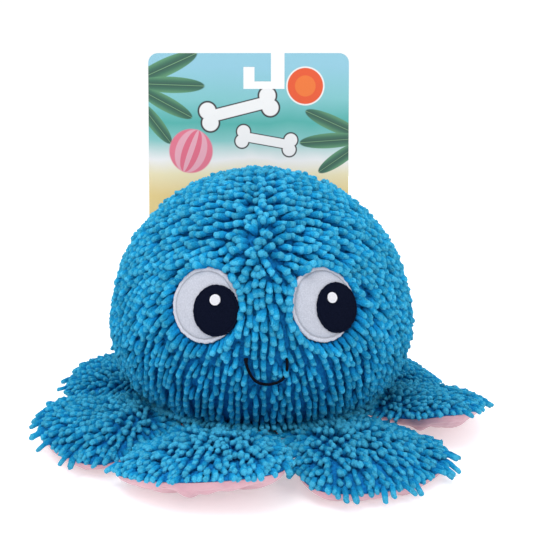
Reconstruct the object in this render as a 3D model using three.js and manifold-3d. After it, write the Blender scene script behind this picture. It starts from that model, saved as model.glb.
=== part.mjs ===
// Stuffed octopus toy: a round chenille head on a flat base, eight lobes sewn round it, and its header card.
// Millimetres, +Z up. The face looks along -Y. The origin is the middle of the flat face that it rests on.
import * as THREE from 'three';
import { mergeVertices } from 'three/addons/utils/BufferGeometryUtils.js';
import Module from 'manifold-3d';

const wasm = await Module();
wasm.setup();

// Fits
const CLEAR = 0.3; // between pieces that touch
const DEGREE = Math.PI / 180;

// Head: gores of pile fabric over the filling, measured outside the pile
const HEAD_RADIUS = 104;
const HEAD_WIDEST_Z = 77;
const CROWN_HEIGHT = 99; // from the widest level up
const UNDER_DEPTH = 95; // from the widest level down, before the base cuts it off
const HEAD_PILE = 9; // pile and backing together
const SEAM_DRAW = 1.6; // how far a seam pulls the stuffed head in
const SEAM_SPREAD = 8; // degrees over which that pull fades
const GORES = 4;
const GORE_COLUMNS = 10;
const HEAD_ROWS = 12;
const FINE_COLUMNS = 64;
const FINE_ROWS = 22;

// Base: a dished panel with a flat seat for each lobe
const LOBES = 8;
const LOBE_RING_TURN = 8.5; // degrees that the ring of lobes stands round from the face
const SEAT_BEYOND_FOOT = 2.62; // from the foot of the gores out to the seats
const BASE_RIM_Z = 15;
const BASE_KNEE_Z = 11.5;
const BASE_FLAT_RADIUS = 58;
const BASE_SHEET = 2;
const SEAM_ALLOWANCE = 11; // rim turned inwards under the gores
const BASE_CORNER_STEPS = 3;

// Lobe: a leaf-shaped pad, pile above and smooth cloth below, thin at its root seam
const LOBE_LENGTH = 78;
const LOBE_ROOT_HALF = 28;
const LOBE_HALF_WIDTH = 49;
const LOBE_WIDEST = 52; // from the root
const LOBE_MIDDLE = 40; // from the root to its thickest point
const LOBE_SEAM_Z = 13;
const LOBE_RISE = 9; // how far the tip curls up
const LOBE_TOP = 14;
const LOBE_BELLY = 13.5;
const LOBE_PILE = 7;
const LOBE_CLOTH = 1.8;
const PILE_TURN_IN = 5; // width of the stitched edge of the pile
const CLOTH_TURN_IN = 2.2;
const ROOT_THINNING = 30; // length over which the pad fills out from its root seam
const PUCKER = 0.9;
const LOBE_SIDE_STEPS = 9;

// Filling and squeaker
const SQUEAKER_Z = 30;
const SQUEAKER_RADIUS = 23.5;
const SQUEAKER_HEIGHT = 24;
const SHOULDER_IN = 8.5;
const SHOULDER_DROP = 6;
const SQUEAKER_WALL = 1.2;
const NECK_RADIUS = 6;
const NECK_HEIGHT = 5;
const NECK_BORE = 4;
const REED_BORE = 1.8;
const REED_LENGTH = 9;
const REED_FLANGE = 1.2;
const FILLING_FOOT_RADIUS = 57;
const FILLING_FOOT_RISE = 5;

// Face: felt patches and an embroidered mouth
const FACE_TURN = 1.7; // the eyes are sewn on a little to one side
const EYE_TURN = 21;
const EYE_Z = 100.2;
const EYE_HALF_WIDTH = 20.8;
const EYE_HALF_HEIGHT = 22.5;
const EYE_SINK = 4; // floor of the recess in the pile
const FELT = 2;
const PUPIL_HALF_WIDTH = 13.9;
const PUPIL_HALF_HEIGHT = 15.1;
const PUPIL_ASIDE = 7.8; // to the same side on both eyes
const PUPIL_DOWN = 2.8;
const PUPIL_SHEET = 0.8;
const GLINT_RADIUS = 3.5;
const GLINT_ASIDE = 6.4;
const GLINT_UP = 3.3;
const GLINT_SHEET = 0.6;
const MOUTH_TURN = 2.3;
const MOUTH_HALF_WIDTH = 12.2;
const MOUTH_TOP_Z = 69.5;
const MOUTH_DROP = 16.8;
const MOUTH_THREAD = 1.1;
const MOUTH_STEPS = 16;

// Header card behind the head, held by two tag pins
const CARD_WIDTH = 175;
const CARD_HEIGHT = 208.5;
const CARD_SHEET = 0.8;
const CARD_CORNER = 8.5;
const CARD_LEAN = 7; // degrees back from upright
const CARD_ASIDE = -11.5;
const CARD_FOOT = 3; // lower edge, up from where the card comes nearest the head
const CARD_GAP = 0.8; // to the pile
const SLOT_ENTRY_MIDDLE = 25.4; // from the middle of the card
const SLOT_ENTRY_WIDTH = 11.8;
const SLOT_DEPTH = 30.9;
const SLOT_CHANNEL = 6.5;
const SLOT_END_MIDDLE = 0.3;
const SLOT_END_WIDTH = 9.6;
const SLOT_END_RISE = 19;
const PIN_SPREAD = 20;
const PIN_UP = 14;
const PIN_SHAFT = 0.5;
const PIN_BAR = 0.8;
const PIN_BAR_LENGTH = 8;
const PIN_BUTTON = 2.2;
const PIN_BUTTON_SHEET = 0.8;

const finish = (color, roughness) => new THREE.MeshStandardMaterial({ color, roughness, metalness: 0 });
const chenille = () => finish(0x1f86b8, 0.95);
const pinkCloth = () => finish(0xd8abc0, 0.85);
const fibreFilling = () => finish(0xf1efe9, 1);
const whiteFelt = () => finish(0xdfe2ea, 0.95);
const blackFelt = () => finish(0x101320, 0.8);
const thread = () => finish(0x14161f, 0.6);
const whiteThread = () => finish(0xf4f5f8, 0.6);
const blownPlastic = () => finish(0xe8e6dc, 0.45);
const hardPlastic = () => finish(0xc9d2d6, 0.35);
const printedCard = () => finish(0x8dcac8, 0.5);

const toy = new THREE.Group();

// Hangs a named piece on its carrier
function place(carrier, name, geometry, material) {
  const mesh = new THREE.Mesh(geometry, material);
  mesh.name = name;
  carrier.add(mesh);
  return mesh;
}

// Closed skin through rings of points, from one pole over the outside to the other pole.
// A pole is a ring whose points are all the same, and faces that close up to a line are dropped.
function skinOfRings(rings) {
  const positions = [];
  const faces = [];
  const seen = new Map();
  const vertex = (point) => {
    const key = point.toArray().map((value) => Math.round(value * 1e4)).join(' ');
    if (!seen.has(key)) {
      seen.set(key, seen.size);
      positions.push(...point.toArray());
    }
    return seen.get(key);
  };
  const triangle = (...points) => {
    const corners = points.map(vertex);
    if (new Set(corners).size === 3) {
      faces.push(...corners);
    }
  };
  const columns = rings[0].length;
  for (let row = 0; row < rings.length - 1; row += 1) {
    for (let i = 0; i < columns; i += 1) {
      const next = (i + 1) % columns;
      triangle(rings[row][i], rings[row][next], rings[row + 1][next]);
      triangle(rings[row][i], rings[row + 1][next], rings[row + 1][i]);
    }
  }
  const geometry = new THREE.BufferGeometry();
  geometry.setAttribute('position', new THREE.Float32BufferAttribute(positions, 3));
  geometry.setIndex(faces);
  return geometry;
}

// The pole above or below the middle of a ring
const poleOf = (ring, x, z) => ring.map(() => new THREE.Vector3(x, 0, z));

// Joining and cutting
function solidOf(geometry) {
  const bare = geometry.clone();
  bare.deleteAttribute('normal');
  bare.deleteAttribute('uv');
  const welded = mergeVertices(bare, 1e-4);
  const vertProperties = new Float32Array(welded.attributes.position.array);
  const triVerts = new Uint32Array(welded.index.array);
  return new wasm.Manifold(new wasm.Mesh({ numProp: 3, vertProperties, triVerts }));
}

function geometryOf(solid) {
  const { vertProperties, triVerts } = solid.getMesh();
  const geometry = new THREE.BufferGeometry();
  geometry.setAttribute('position', new THREE.Float32BufferAttribute(vertProperties, 3));
  geometry.setIndex([...triVerts]);
  return geometry;
}

// Turned piece: a closed half outline spun about Z
function turned(outline, segments) {
  const lathe = new THREE.LatheGeometry(outline.map(([r, z]) => new THREE.Vector2(r, z)), segments);
  return lathe.rotateX(Math.PI / 2);
}

// Head surface: an egg of revolution, drawn in along the seams between its gores. Turns count from the face
const goreTurn = 360 / GORES;

function seamPull(turn) {
  const fromSeam = turn - goreTurn * Math.round(turn / goreTurn);
  return SEAM_DRAW * Math.exp(-((fromSeam / SEAM_SPREAD) ** 2));
}

function headPoint(turn, climb, inset) {
  const height = (climb >= 0 ? CROWN_HEIGHT : UNDER_DEPTH) - inset;
  const radius = (HEAD_RADIUS - inset - seamPull(turn)) * Math.cos(climb);
  const z = HEAD_WIDEST_Z + height * Math.sin(climb);
  return new THREE.Vector3(radius * Math.sin(turn * DEGREE), -radius * Math.cos(turn * DEGREE), z);
}

// Climb at which the head's surface passes a level
function climbAt(z, inset) {
  const height = (z >= HEAD_WIDEST_Z ? CROWN_HEIGHT : UNDER_DEPTH) - inset;
  return Math.asin((z - HEAD_WIDEST_Z) / height);
}

// Rings of the head's surface from its foot, where the gores meet the base, to the crown
function headRings(turns, rows, inset) {
  const foot = climbAt(BASE_RIM_Z + CLEAR, inset);
  const rings = [];
  for (let row = 0; row < rows; row += 1) {
    const climb = foot + (Math.PI / 2 - foot) * row / rows;
    rings.push(turns.map((turn) => headPoint(turn, climb, inset)));
  }
  rings.push(poleOf(turns, 0, HEAD_WIDEST_Z + CROWN_HEIGHT - inset));
  return rings;
}

const turnsRound = (columns) => Array.from({ length: columns }, (unused, i) => 360 * i / columns);
const headTurns = turnsRound(GORES * GORE_COLUMNS);

// Head cover: each gore is a shell of pile from foot to crown, half a gap short of its two seams
function goreSkin(index) {
  const start = index * goreTurn;
  const turns = Array.from({ length: GORE_COLUMNS + 1 }, (unused, i) => start + goreTurn * i / GORE_COLUMNS);
  const intoGore = (turn, side) => new THREE.Vector3(Math.cos(turn * DEGREE), Math.sin(turn * DEGREE), 0)
    .multiplyScalar(side * CLEAR / 2);
  const fromFirst = intoGore(start, 1);
  const fromLast = intoGore(start + goreTurn, -1);
  const shellRings = (inset) => headRings(turns, HEAD_ROWS, inset).map((ring, row) => ring.map((point, i) => {
    const moved = point.clone();
    if (row === HEAD_ROWS || i === 0) {
      moved.add(fromFirst);
    }
    if (row === HEAD_ROWS || i === GORE_COLUMNS) {
      moved.add(fromLast);
    }
    return moved;
  }));
  const outside = shellRings(0);
  const inside = shellRings(HEAD_PILE);
  // Each loop runs back along the inside and then along the outside. The first one lies folded flat at the foot
  const folded = [...inside[0].slice().reverse(), ...inside[0]];
  const loops = outside.map((ring, row) => [...inside[row].slice().reverse(), ...ring]);
  return skinOfRings([folded, ...loops]);
}

// Whole head at a depth under the surface of the pile, finely divided, for fitting the face
function headCore(inset) {
  const rings = headRings(turnsRound(FINE_COLUMNS), FINE_ROWS, inset);
  return solidOf(skinOfRings([poleOf(rings[0], 0, BASE_RIM_Z + CLEAR), ...rings]));
}

// Frame standing on the head's surface: X level, Y up the surface, Z out of it
function faceFrame(turn, z) {
  const climb = climbAt(z, 0);
  const tilt = Math.atan(Math.tan(climb) * HEAD_RADIUS / CROWN_HEIGHT);
  const level = new THREE.Vector3(Math.cos(turn * DEGREE), Math.sin(turn * DEGREE), 0);
  const out = new THREE.Vector3(Math.sin(turn * DEGREE), -Math.cos(turn * DEGREE), 0)
    .multiplyScalar(Math.cos(tilt))
    .add(new THREE.Vector3(0, 0, Math.sin(tilt)));
  const up = new THREE.Vector3().crossVectors(out, level);
  return new THREE.Matrix4().makeBasis(level, up, out).setPosition(headPoint(turn, climb, 0));
}

// Oval cutter along a face frame
function ovalPrism(frame, aside, up, halfWidth, halfHeight, quarterSteps = 7) {
  const reach = 18;
  const outline = new THREE.Shape();
  outline.absellipse(aside, up, halfWidth, halfHeight, 0, 2 * Math.PI, false, 0);
  const prism = new THREE.ExtrudeGeometry(outline, {
    depth: 2 * reach,
    bevelEnabled: false,
    curveSegments: 2 * quarterSteps,
  });
  prism.translate(0, 0, -reach);
  return solidOf(prism.applyMatrix4(frame));
}

// Depths of the face's layers under the surface of the pile
const feltBottom = EYE_SINK - CLEAR;
const feltTop = feltBottom - FELT;
const pupilBottom = feltTop - CLEAR;
const pupilTop = pupilBottom - PUPIL_SHEET;
const glintBottom = pupilTop - CLEAR;
const glintTop = glintBottom - GLINT_SHEET;
const layer = (top, bottom) => headCore(top).subtract(headCore(bottom));
const feltLayer = layer(feltTop, feltBottom);
const pupilLayer = layer(pupilTop, pupilBottom);
const glintLayer = layer(glintTop, glintBottom);
const underFelt = headCore(EYE_SINK);
const underPupil = headCore(feltTop);

// Mouth: half an oval of thread laid in a groove of the pile
function mouthTube(radius, overrun) {
  const stations = 12;
  const points = [];
  for (let i = 0; i <= stations; i += 1) {
    const angle = Math.PI * (1 + i / stations);
    const atEnd = i % stations === 0;
    const z = MOUTH_TOP_Z + MOUTH_DROP * Math.sin(angle) + (atEnd ? overrun : 0);
    const turn = MOUTH_TURN + MOUTH_HALF_WIDTH * Math.cos(angle) / HEAD_RADIUS / DEGREE;
    const point = headPoint(turn, climbAt(z, 0), 0);
    const out = new THREE.Vector3(point.x, point.y, 0).normalize();
    points.push(point.addScaledVector(out, seamPull(turn) - MOUTH_THREAD));
  }
  const section = new THREE.Shape();
  section.absarc(0, 0, radius, 0, 2 * Math.PI);
  return new THREE.ExtrudeGeometry(section, {
    steps: MOUTH_STEPS,
    curveSegments: 3,
    bevelEnabled: false,
    extrudePath: new THREE.CatmullRomCurve3(points),
  });
}

// Card frame: X level, Y up the card, Z towards the head. Its origin is where the card comes nearest the head
const cardTilt = CARD_LEAN * DEGREE;
const rearReach = Math.hypot(HEAD_RADIUS * Math.cos(cardTilt), UNDER_DEPTH * Math.sin(cardTilt));
const cardReach = rearReach + CARD_GAP + CARD_SHEET / 2;
const cardFrame = new THREE.Matrix4()
  .makeRotationX(Math.PI / 2 - cardTilt)
  .setPosition(0, cardReach * Math.cos(cardTilt), HEAD_WIDEST_Z - cardReach * Math.sin(cardTilt));

// Tag pin: a button behind the card, a shaft through card and pile, and a bar behind the backing
const pinRise = (PIN_SPREAD ** 2 + PIN_UP ** 2) / (2 * HEAD_RADIUS); // the head curves away from the card
const pinBarDepth = CARD_SHEET / 2 + CARD_GAP + pinRise + HEAD_PILE + CLEAR;
const pinButtonDepth = -CARD_SHEET / 2 - CLEAR - PIN_BUTTON_SHEET / 2;

function pinRod(side, radius, barRadius) {
  const length = pinBarDepth - pinButtonDepth;
  const shaft = new THREE.CylinderGeometry(radius, radius, length, 8);
  shaft.rotateX(Math.PI / 2);
  shaft.translate(side * PIN_SPREAD, PIN_UP, pinButtonDepth + length / 2);
  const bar = new THREE.CylinderGeometry(barRadius, barRadius, PIN_BAR_LENGTH + 2 * (barRadius - PIN_BAR), 8);
  bar.translate(side * PIN_SPREAD, PIN_UP, pinBarDepth);
  return solidOf(shaft.applyMatrix4(cardFrame)).add(solidOf(bar.applyMatrix4(cardFrame)));
}

function tagPin(side) {
  const button = new THREE.CylinderGeometry(PIN_BUTTON, PIN_BUTTON, PIN_BUTTON_SHEET, 12);
  button.rotateX(Math.PI / 2);
  button.translate(side * PIN_SPREAD, PIN_UP, pinButtonDepth);
  return pinRod(side, PIN_SHAFT, PIN_BAR).add(solidOf(button.applyMatrix4(cardFrame)));
}

const pinCutter = pinRod(-1, PIN_SHAFT + CLEAR, PIN_BAR + CLEAR).add(pinRod(1, PIN_SHAFT + CLEAR, PIN_BAR + CLEAR));

// Gores, with recesses for the felt, a groove for the mouth and holes for the pins
const eyes = [
  { side: 'left', frame: faceFrame(FACE_TURN - EYE_TURN, EYE_Z) },
  { side: 'right', frame: faceFrame(FACE_TURN + EYE_TURN, EYE_Z) },
];
const feltOval = (frame, grow) => ovalPrism(frame, 0, 0, EYE_HALF_WIDTH + grow, EYE_HALF_HEIGHT + grow);
const pupilOval = (frame, grow) => ovalPrism(
  frame,
  PUPIL_ASIDE,
  -PUPIL_DOWN,
  PUPIL_HALF_WIDTH + grow,
  PUPIL_HALF_HEIGHT + grow,
);
const goreNames = ['head_gore_front_right', 'head_gore_back_right', 'head_gore_back_left', 'head_gore_front_left'];
const mouthGroove = solidOf(mouthTube(MOUTH_THREAD + CLEAR * 1.2, CLEAR * 1.2));
const recesses = eyes.map(({ frame }) => feltOval(frame, CLEAR).subtract(underFelt)
  .add(pupilOval(frame, CLEAR).subtract(underPupil)));

for (let index = 0; index < GORES; index += 1) {
  let gore = solidOf(goreSkin(index));
  for (const cut of [...recesses, mouthGroove, pinCutter]) {
    gore = gore.subtract(cut);
  }
  place(toy, goreNames[index], geometryOf(gore), chenille());
}

for (const { side, frame } of eyes) {
  const white = feltOval(frame, 0).intersect(feltLayer);
  const pupil = pupilOval(frame, 0).intersect(pupilLayer);
  const glint = ovalPrism(frame, GLINT_ASIDE, GLINT_UP, GLINT_RADIUS, GLINT_RADIUS, 3).intersect(glintLayer);
  place(toy, `eye_white_${side}`, geometryOf(white), whiteFelt());
  place(toy, `eye_pupil_${side}`, geometryOf(pupil), blackFelt());
  place(toy, `eye_glint_${side}`, geometryOf(glint), whiteThread());
}
place(toy, 'mouth_thread', mouthTube(MOUTH_THREAD, 0), thread());

// Base panel: a dish whose rim is eight flat seats, turned in as the seam allowance under the gores
const lobeTurn = 360 / LOBES;
const baseTurns = turnsRound(4 * LOBES);
const seatApothem = HEAD_RADIUS * Math.cos(climbAt(BASE_RIM_Z + CLEAR, 0)) + SEAT_BEYOND_FOOT;

function baseRing(apothem, z, squareness) {
  return baseTurns.map((turn) => {
    const fromSeat = turn - lobeTurn * Math.round(turn / lobeTurn);
    const squared = apothem / Math.cos(fromSeat * DEGREE);
    const radius = THREE.MathUtils.lerp(apothem, squared, squareness);
    const angle = (turn + LOBE_RING_TURN + lobeTurn / 2) * DEGREE;
    return new THREE.Vector3(radius * Math.sin(angle), -radius * Math.cos(angle), z);
  });
}

function basePanelSkin() {
  const wall = (thickness) => {
    const rings = [];
    for (let i = 0; i <= BASE_CORNER_STEPS; i += 1) {
      const bend = Math.PI / 2 * i / BASE_CORNER_STEPS;
      const apothem = BASE_FLAT_RADIUS + (seatApothem - thickness - BASE_FLAT_RADIUS) * Math.sin(bend);
      const z = thickness + (BASE_KNEE_Z - thickness) * (1 - Math.cos(bend));
      rings.push(baseRing(apothem, z, Math.sin(bend)));
    }
    return rings;
  };
  const outside = wall(0);
  const inside = wall(BASE_SHEET).reverse();
  const turnedIn = seatApothem - SEAM_ALLOWANCE;
  return skinOfRings([
    poleOf(baseTurns, 0, 0),
    ...outside,
    baseRing(seatApothem, BASE_RIM_Z, 1),
    baseRing(turnedIn, BASE_RIM_Z, 1),
    baseRing(turnedIn, BASE_RIM_Z - BASE_SHEET, 1),
    baseRing(seatApothem - BASE_SHEET, BASE_RIM_Z - BASE_SHEET, 1),
    ...inside,
    poleOf(baseTurns, 0, BASE_SHEET),
  ]);
}

place(toy, 'base_panel', basePanelSkin(), pinkCloth());

// Filling: it takes the head's shape inside the gores, with a pocket from below for the squeaker
const pocketRadius = SQUEAKER_RADIUS + CLEAR;
const pocketNeckRadius = NECK_RADIUS + CLEAR;
const shoulderZ = SQUEAKER_Z + SQUEAKER_HEIGHT - SHOULDER_DROP + CLEAR;
const topZ = SQUEAKER_Z + SQUEAKER_HEIGHT + CLEAR;
const reedTopZ = SQUEAKER_Z + SQUEAKER_HEIGHT + NECK_HEIGHT + CLEAR + REED_FLANGE + CLEAR;
const fillingFootZ = BASE_SHEET + CLEAR;
const fillingInset = HEAD_PILE + CLEAR;

function fillingSkin() {
  const ring = (radius, z) => headTurns.map((turn) => new THREE.Vector3(
    radius * Math.sin(turn * DEGREE),
    -radius * Math.cos(turn * DEGREE),
    z,
  ));
  const body = headRings(headTurns, HEAD_ROWS, fillingInset);
  const waist = body[0].map((point) => new THREE.Vector3(point.x, point.y, FILLING_FOOT_RISE));
  return skinOfRings([
    poleOf(headTurns, 0, reedTopZ),
    ring(pocketNeckRadius, reedTopZ),
    ring(pocketNeckRadius, topZ),
    ring(pocketRadius - SHOULDER_IN, topZ),
    ring(pocketRadius, shoulderZ),
    ring(pocketRadius, fillingFootZ),
    ring(FILLING_FOOT_RADIUS, fillingFootZ),
    waist,
    ...body,
  ]);
}

const filling = solidOf(fillingSkin()).subtract(pinCutter);
place(toy, 'head_filling', geometryOf(filling), fibreFilling());

// The last handful of filling, under the squeaker
const plugHeight = SQUEAKER_Z - CLEAR - fillingFootZ;
const plug = new THREE.CylinderGeometry(pocketRadius - CLEAR, pocketRadius - CLEAR, plugHeight, 20);
plug.rotateX(Math.PI / 2);
plug.translate(0, 0, fillingFootZ + plugHeight / 2);
place(toy, 'head_filling_plug', plug, fibreFilling());

// Squeaker drum: blown in one piece, open at its neck
function squeakerSkin() {
  const shell = (wall) => [
    [SQUEAKER_RADIUS - SHOULDER_IN, wall],
    [SQUEAKER_RADIUS - wall, SHOULDER_DROP],
    [SQUEAKER_RADIUS - wall, SQUEAKER_HEIGHT - SHOULDER_DROP],
    [SQUEAKER_RADIUS - SHOULDER_IN, SQUEAKER_HEIGHT - wall],
  ];
  return turned([
    [0, 0],
    ...shell(0),
    [NECK_RADIUS, SQUEAKER_HEIGHT],
    [NECK_RADIUS, SQUEAKER_HEIGHT + NECK_HEIGHT],
    [NECK_BORE, SQUEAKER_HEIGHT + NECK_HEIGHT],
    [NECK_BORE, SQUEAKER_HEIGHT - SQUEAKER_WALL],
    ...shell(SQUEAKER_WALL).reverse(),
    [0, SQUEAKER_WALL],
  ], 20);
}

place(toy, 'squeaker_drum', squeakerSkin(), blownPlastic()).position.z = SQUEAKER_Z;

// Reed: a whistle barrel that seats in the neck by its flange
const reedBarrel = NECK_BORE - CLEAR;
const reed = turned([
  [REED_BORE, -REED_LENGTH],
  [reedBarrel, -REED_LENGTH],
  [reedBarrel, 0],
  [NECK_RADIUS, 0],
  [NECK_RADIUS, REED_FLANGE],
  [REED_BORE, REED_FLANGE],
  [REED_BORE, -REED_LENGTH],
], 16);
place(toy, 'squeaker_reed', reed, hardPlastic()).position.z = SQUEAKER_Z + SQUEAKER_HEIGHT + NECK_HEIGHT + CLEAR;

// Lobe outline, half width at a distance from the root
function lobeHalfWidth(along) {
  if (along <= LOBE_WIDEST) {
    const swell = Math.sin(Math.PI / 2 * along / LOBE_WIDEST) ** 1.6;
    return THREE.MathUtils.lerp(LOBE_ROOT_HALF, LOBE_HALF_WIDTH, swell);
  }
  const past = Math.min(1, (along - LOBE_WIDEST) / (LOBE_LENGTH - LOBE_WIDEST));
  return LOBE_HALF_WIDTH * (1 - past ** 2.2) ** 0.62;
}

// Points round the edge: middle of the root, one side out to the tip, and the other side back
function lobeEdge() {
  const side = Array.from({ length: LOBE_SIDE_STEPS }, (unused, i) => {
    const along = LOBE_LENGTH * Math.sin(Math.PI / 2 * i / LOBE_SIDE_STEPS);
    return new THREE.Vector2(along, lobeHalfWidth(along));
  });
  const near = side.map((point) => new THREE.Vector2(point.x, -point.y));
  return [new THREE.Vector2(0, 0), ...near, new THREE.Vector2(LOBE_LENGTH, 0), ...side.reverse()];
}

const lobeMiddle = new THREE.Vector2(LOBE_MIDDLE, 0);
const lobeRootX = seatApothem + CLEAR;

// One ring of a lobe's surface. Height is positive above its seam and negative below, where the cloth puckers
function lobeRing(spread, turnIn, height, lift) {
  return lobeEdge().map((edge, i) => {
    const fromMiddle = edge.clone().sub(lobeMiddle);
    fromMiddle.multiplyScalar(spread * (1 - turnIn / fromMiddle.length()));
    const along = lobeMiddle.x + fromMiddle.x;
    const seamZ = LOBE_SEAM_Z + LOBE_RISE * (along / LOBE_LENGTH) ** 2;
    const fullness = (1 - spread ** 2) ** 0.75 * Math.min(1, Math.sqrt((along + 1) / ROOT_THINNING));
    const ruffled = height < 0 && spread > 0 && spread < 1 ? Math.min(1, along / ROOT_THINNING) : 0;
    const ruffle = PUCKER * ruffled * (i % 2 === 0 ? 1 : -1);
    return new THREE.Vector3(lobeRootX + along, fromMiddle.y, seamZ + height * fullness + ruffle + lift);
  });
}

// Rings of one side of a lobe from its edge to its middle, evenly spaced over the swelling
function lobeSide(steps, turnIn, height, lift) {
  return Array.from({ length: steps + 1 }, (unused, i) => (
    lobeRing(Math.sqrt(1 - (i / steps) ** 2), turnIn, height, lift)
  ));
}

const lobeCover = skinOfRings([
  ...lobeSide(2, PILE_TURN_IN, LOBE_TOP - LOBE_PILE, CLEAR / 2).reverse(),
  ...lobeSide(4, 0, LOBE_TOP, CLEAR / 2),
]);
const lobeLining = skinOfRings([
  ...lobeSide(3, 0, -LOBE_BELLY, -CLEAR / 2).reverse(),
  ...lobeSide(3, CLOTH_TURN_IN, LOBE_CLOTH - LOBE_BELLY, -CLEAR / 2),
]);
const fillingTurnIn = PILE_TURN_IN + 2 * CLEAR;
const lobeFilling = skinOfRings([
  ...lobeSide(3, fillingTurnIn, LOBE_CLOTH + CLEAR - LOBE_BELLY, 0).reverse(),
  ...lobeSide(2, fillingTurnIn, LOBE_TOP - LOBE_PILE - 2 * CLEAR, 0).slice(1),
]);

for (let index = 0; index < LOBES; index += 1) {
  const lobe = new THREE.Group();
  lobe.rotation.z = (LOBE_RING_TURN + lobeTurn * (index + 0.5) - 90) * DEGREE;
  place(lobe, `lobe_${index + 1}_cover`, lobeCover.clone(), chenille());
  place(lobe, `lobe_${index + 1}_lining`, lobeLining.clone(), pinkCloth());
  place(lobe, `lobe_${index + 1}_filling`, lobeFilling.clone(), fibreFilling());
  toy.add(lobe);
}

// Header card: rounded board with a hook slot open to its top edge, and a hole for each pin
function cardOutline() {
  const half = CARD_WIDTH / 2;
  const top = CARD_FOOT + CARD_HEIGHT;
  const entryRight = SLOT_ENTRY_MIDDLE + SLOT_ENTRY_WIDTH / 2;
  const entryLeft = entryRight - SLOT_ENTRY_WIDTH;
  const endLeft = SLOT_END_MIDDLE - SLOT_END_WIDTH / 2;
  const endRight = endLeft + SLOT_END_WIDTH;
  const slotFloor = top - SLOT_DEPTH;
  const card = new THREE.Shape();
  card.absarc(half - CARD_CORNER, top - CARD_CORNER, CARD_CORNER, 0, Math.PI / 2);
  card.lineTo(entryRight, top);
  card.lineTo(entryRight, slotFloor);
  card.lineTo(endLeft, slotFloor);
  card.lineTo(endLeft, slotFloor + SLOT_END_RISE);
  card.lineTo(endRight, slotFloor + SLOT_END_RISE);
  card.lineTo(endRight, slotFloor + SLOT_CHANNEL);
  card.lineTo(entryLeft, slotFloor + SLOT_CHANNEL);
  card.lineTo(entryLeft, top);
  card.absarc(CARD_CORNER - half, top - CARD_CORNER, CARD_CORNER, Math.PI / 2, Math.PI);
  card.absarc(CARD_CORNER - half, CARD_FOOT + CARD_CORNER, CARD_CORNER, Math.PI, 1.5 * Math.PI);
  card.absarc(half - CARD_CORNER, CARD_FOOT + CARD_CORNER, CARD_CORNER, 1.5 * Math.PI, 2 * Math.PI);
  for (const side of [-1, 1]) {
    const hole = new THREE.Path();
    hole.absarc(side * PIN_SPREAD - CARD_ASIDE, PIN_UP, PIN_SHAFT + CLEAR, 0, 2 * Math.PI, true);
    card.holes.push(hole);
  }
  return card;
}

const board = new THREE.ExtrudeGeometry(cardOutline(), {
  depth: CARD_SHEET,
  bevelEnabled: false,
  curveSegments: 4,
});
board.translate(CARD_ASIDE, 0, -CARD_SHEET / 2);
place(toy, 'header_card', board.applyMatrix4(cardFrame), printedCard());
place(toy, 'tag_pin_left', geometryOf(tagPin(-1)), hardPlastic());
place(toy, 'tag_pin_right', geometryOf(tagPin(1)), hardPlastic());

export default toy;
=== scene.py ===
import math

import bpy
import numpy as np
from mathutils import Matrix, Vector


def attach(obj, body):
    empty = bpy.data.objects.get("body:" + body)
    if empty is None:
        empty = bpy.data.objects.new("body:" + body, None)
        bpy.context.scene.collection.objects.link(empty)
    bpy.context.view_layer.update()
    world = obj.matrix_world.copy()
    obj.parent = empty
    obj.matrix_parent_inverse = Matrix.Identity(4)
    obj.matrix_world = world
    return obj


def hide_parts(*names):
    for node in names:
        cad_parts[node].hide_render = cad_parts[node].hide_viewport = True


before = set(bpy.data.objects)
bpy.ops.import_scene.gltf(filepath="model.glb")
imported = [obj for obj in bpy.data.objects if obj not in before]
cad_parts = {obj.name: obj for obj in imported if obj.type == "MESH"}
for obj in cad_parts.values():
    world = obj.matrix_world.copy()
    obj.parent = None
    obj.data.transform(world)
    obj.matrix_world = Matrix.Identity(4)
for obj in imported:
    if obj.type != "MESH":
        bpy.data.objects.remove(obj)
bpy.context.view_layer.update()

# ---- Camera and studio -----------------------------------
# The toy is seen from the front, a little from above, on a plain white light table that runs out of
# view. Two large soft lamps from above and a pale surround light it, as in a small product tent.
scene = bpy.context.scene
camera = bpy.data.objects.new("camera", bpy.data.cameras.new("camera"))
camera.location = (0.00411, -0.47636, 0.18502)
camera.rotation_euler = (math.radians(80.7), 0, 0)
camera.data.sensor_width = 36
camera.data.lens = 45.26
scene.collection.objects.link(camera)
scene.camera = camera
scene.view_settings.view_transform = "Standard"


def feed(node, inputs):
    """Gives inputs of a shader node their values, or the outputs of other nodes that they follow."""
    for name, value in inputs.items():
        if isinstance(value, bpy.types.NodeSocket):
            node.id_data.links.new(value, node.inputs[name])
        else:
            node.inputs[name].default_value = value


def add_node(tree, kind, inputs, **settings):
    """Adds a shader node and returns its outputs."""
    node = tree.nodes.new("ShaderNode" + kind)
    for name, value in settings.items():
        setattr(node, name, value)
    feed(node, inputs)
    return node.outputs


def maths(tree, operation, *terms):
    return add_node(tree, "Math", dict(enumerate(terms)), operation=operation)["Value"]


def map_range(tree, value, low, high, to_low=0.0, to_high=1.0):
    inputs = {"Value": value, "From Min": low, "From Max": high, "To Min": to_low, "To Max": to_high}
    return add_node(tree, "MapRange", inputs)["Result"]


def begin_material(name, roughness):
    """A new material, with its node tree and its main shader."""
    material = bpy.data.materials.new(name)
    material.use_nodes = True
    shader = material.node_tree.nodes["Principled BSDF"]
    feed(shader, {"Roughness": roughness})
    return material, material.node_tree, shader


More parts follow.
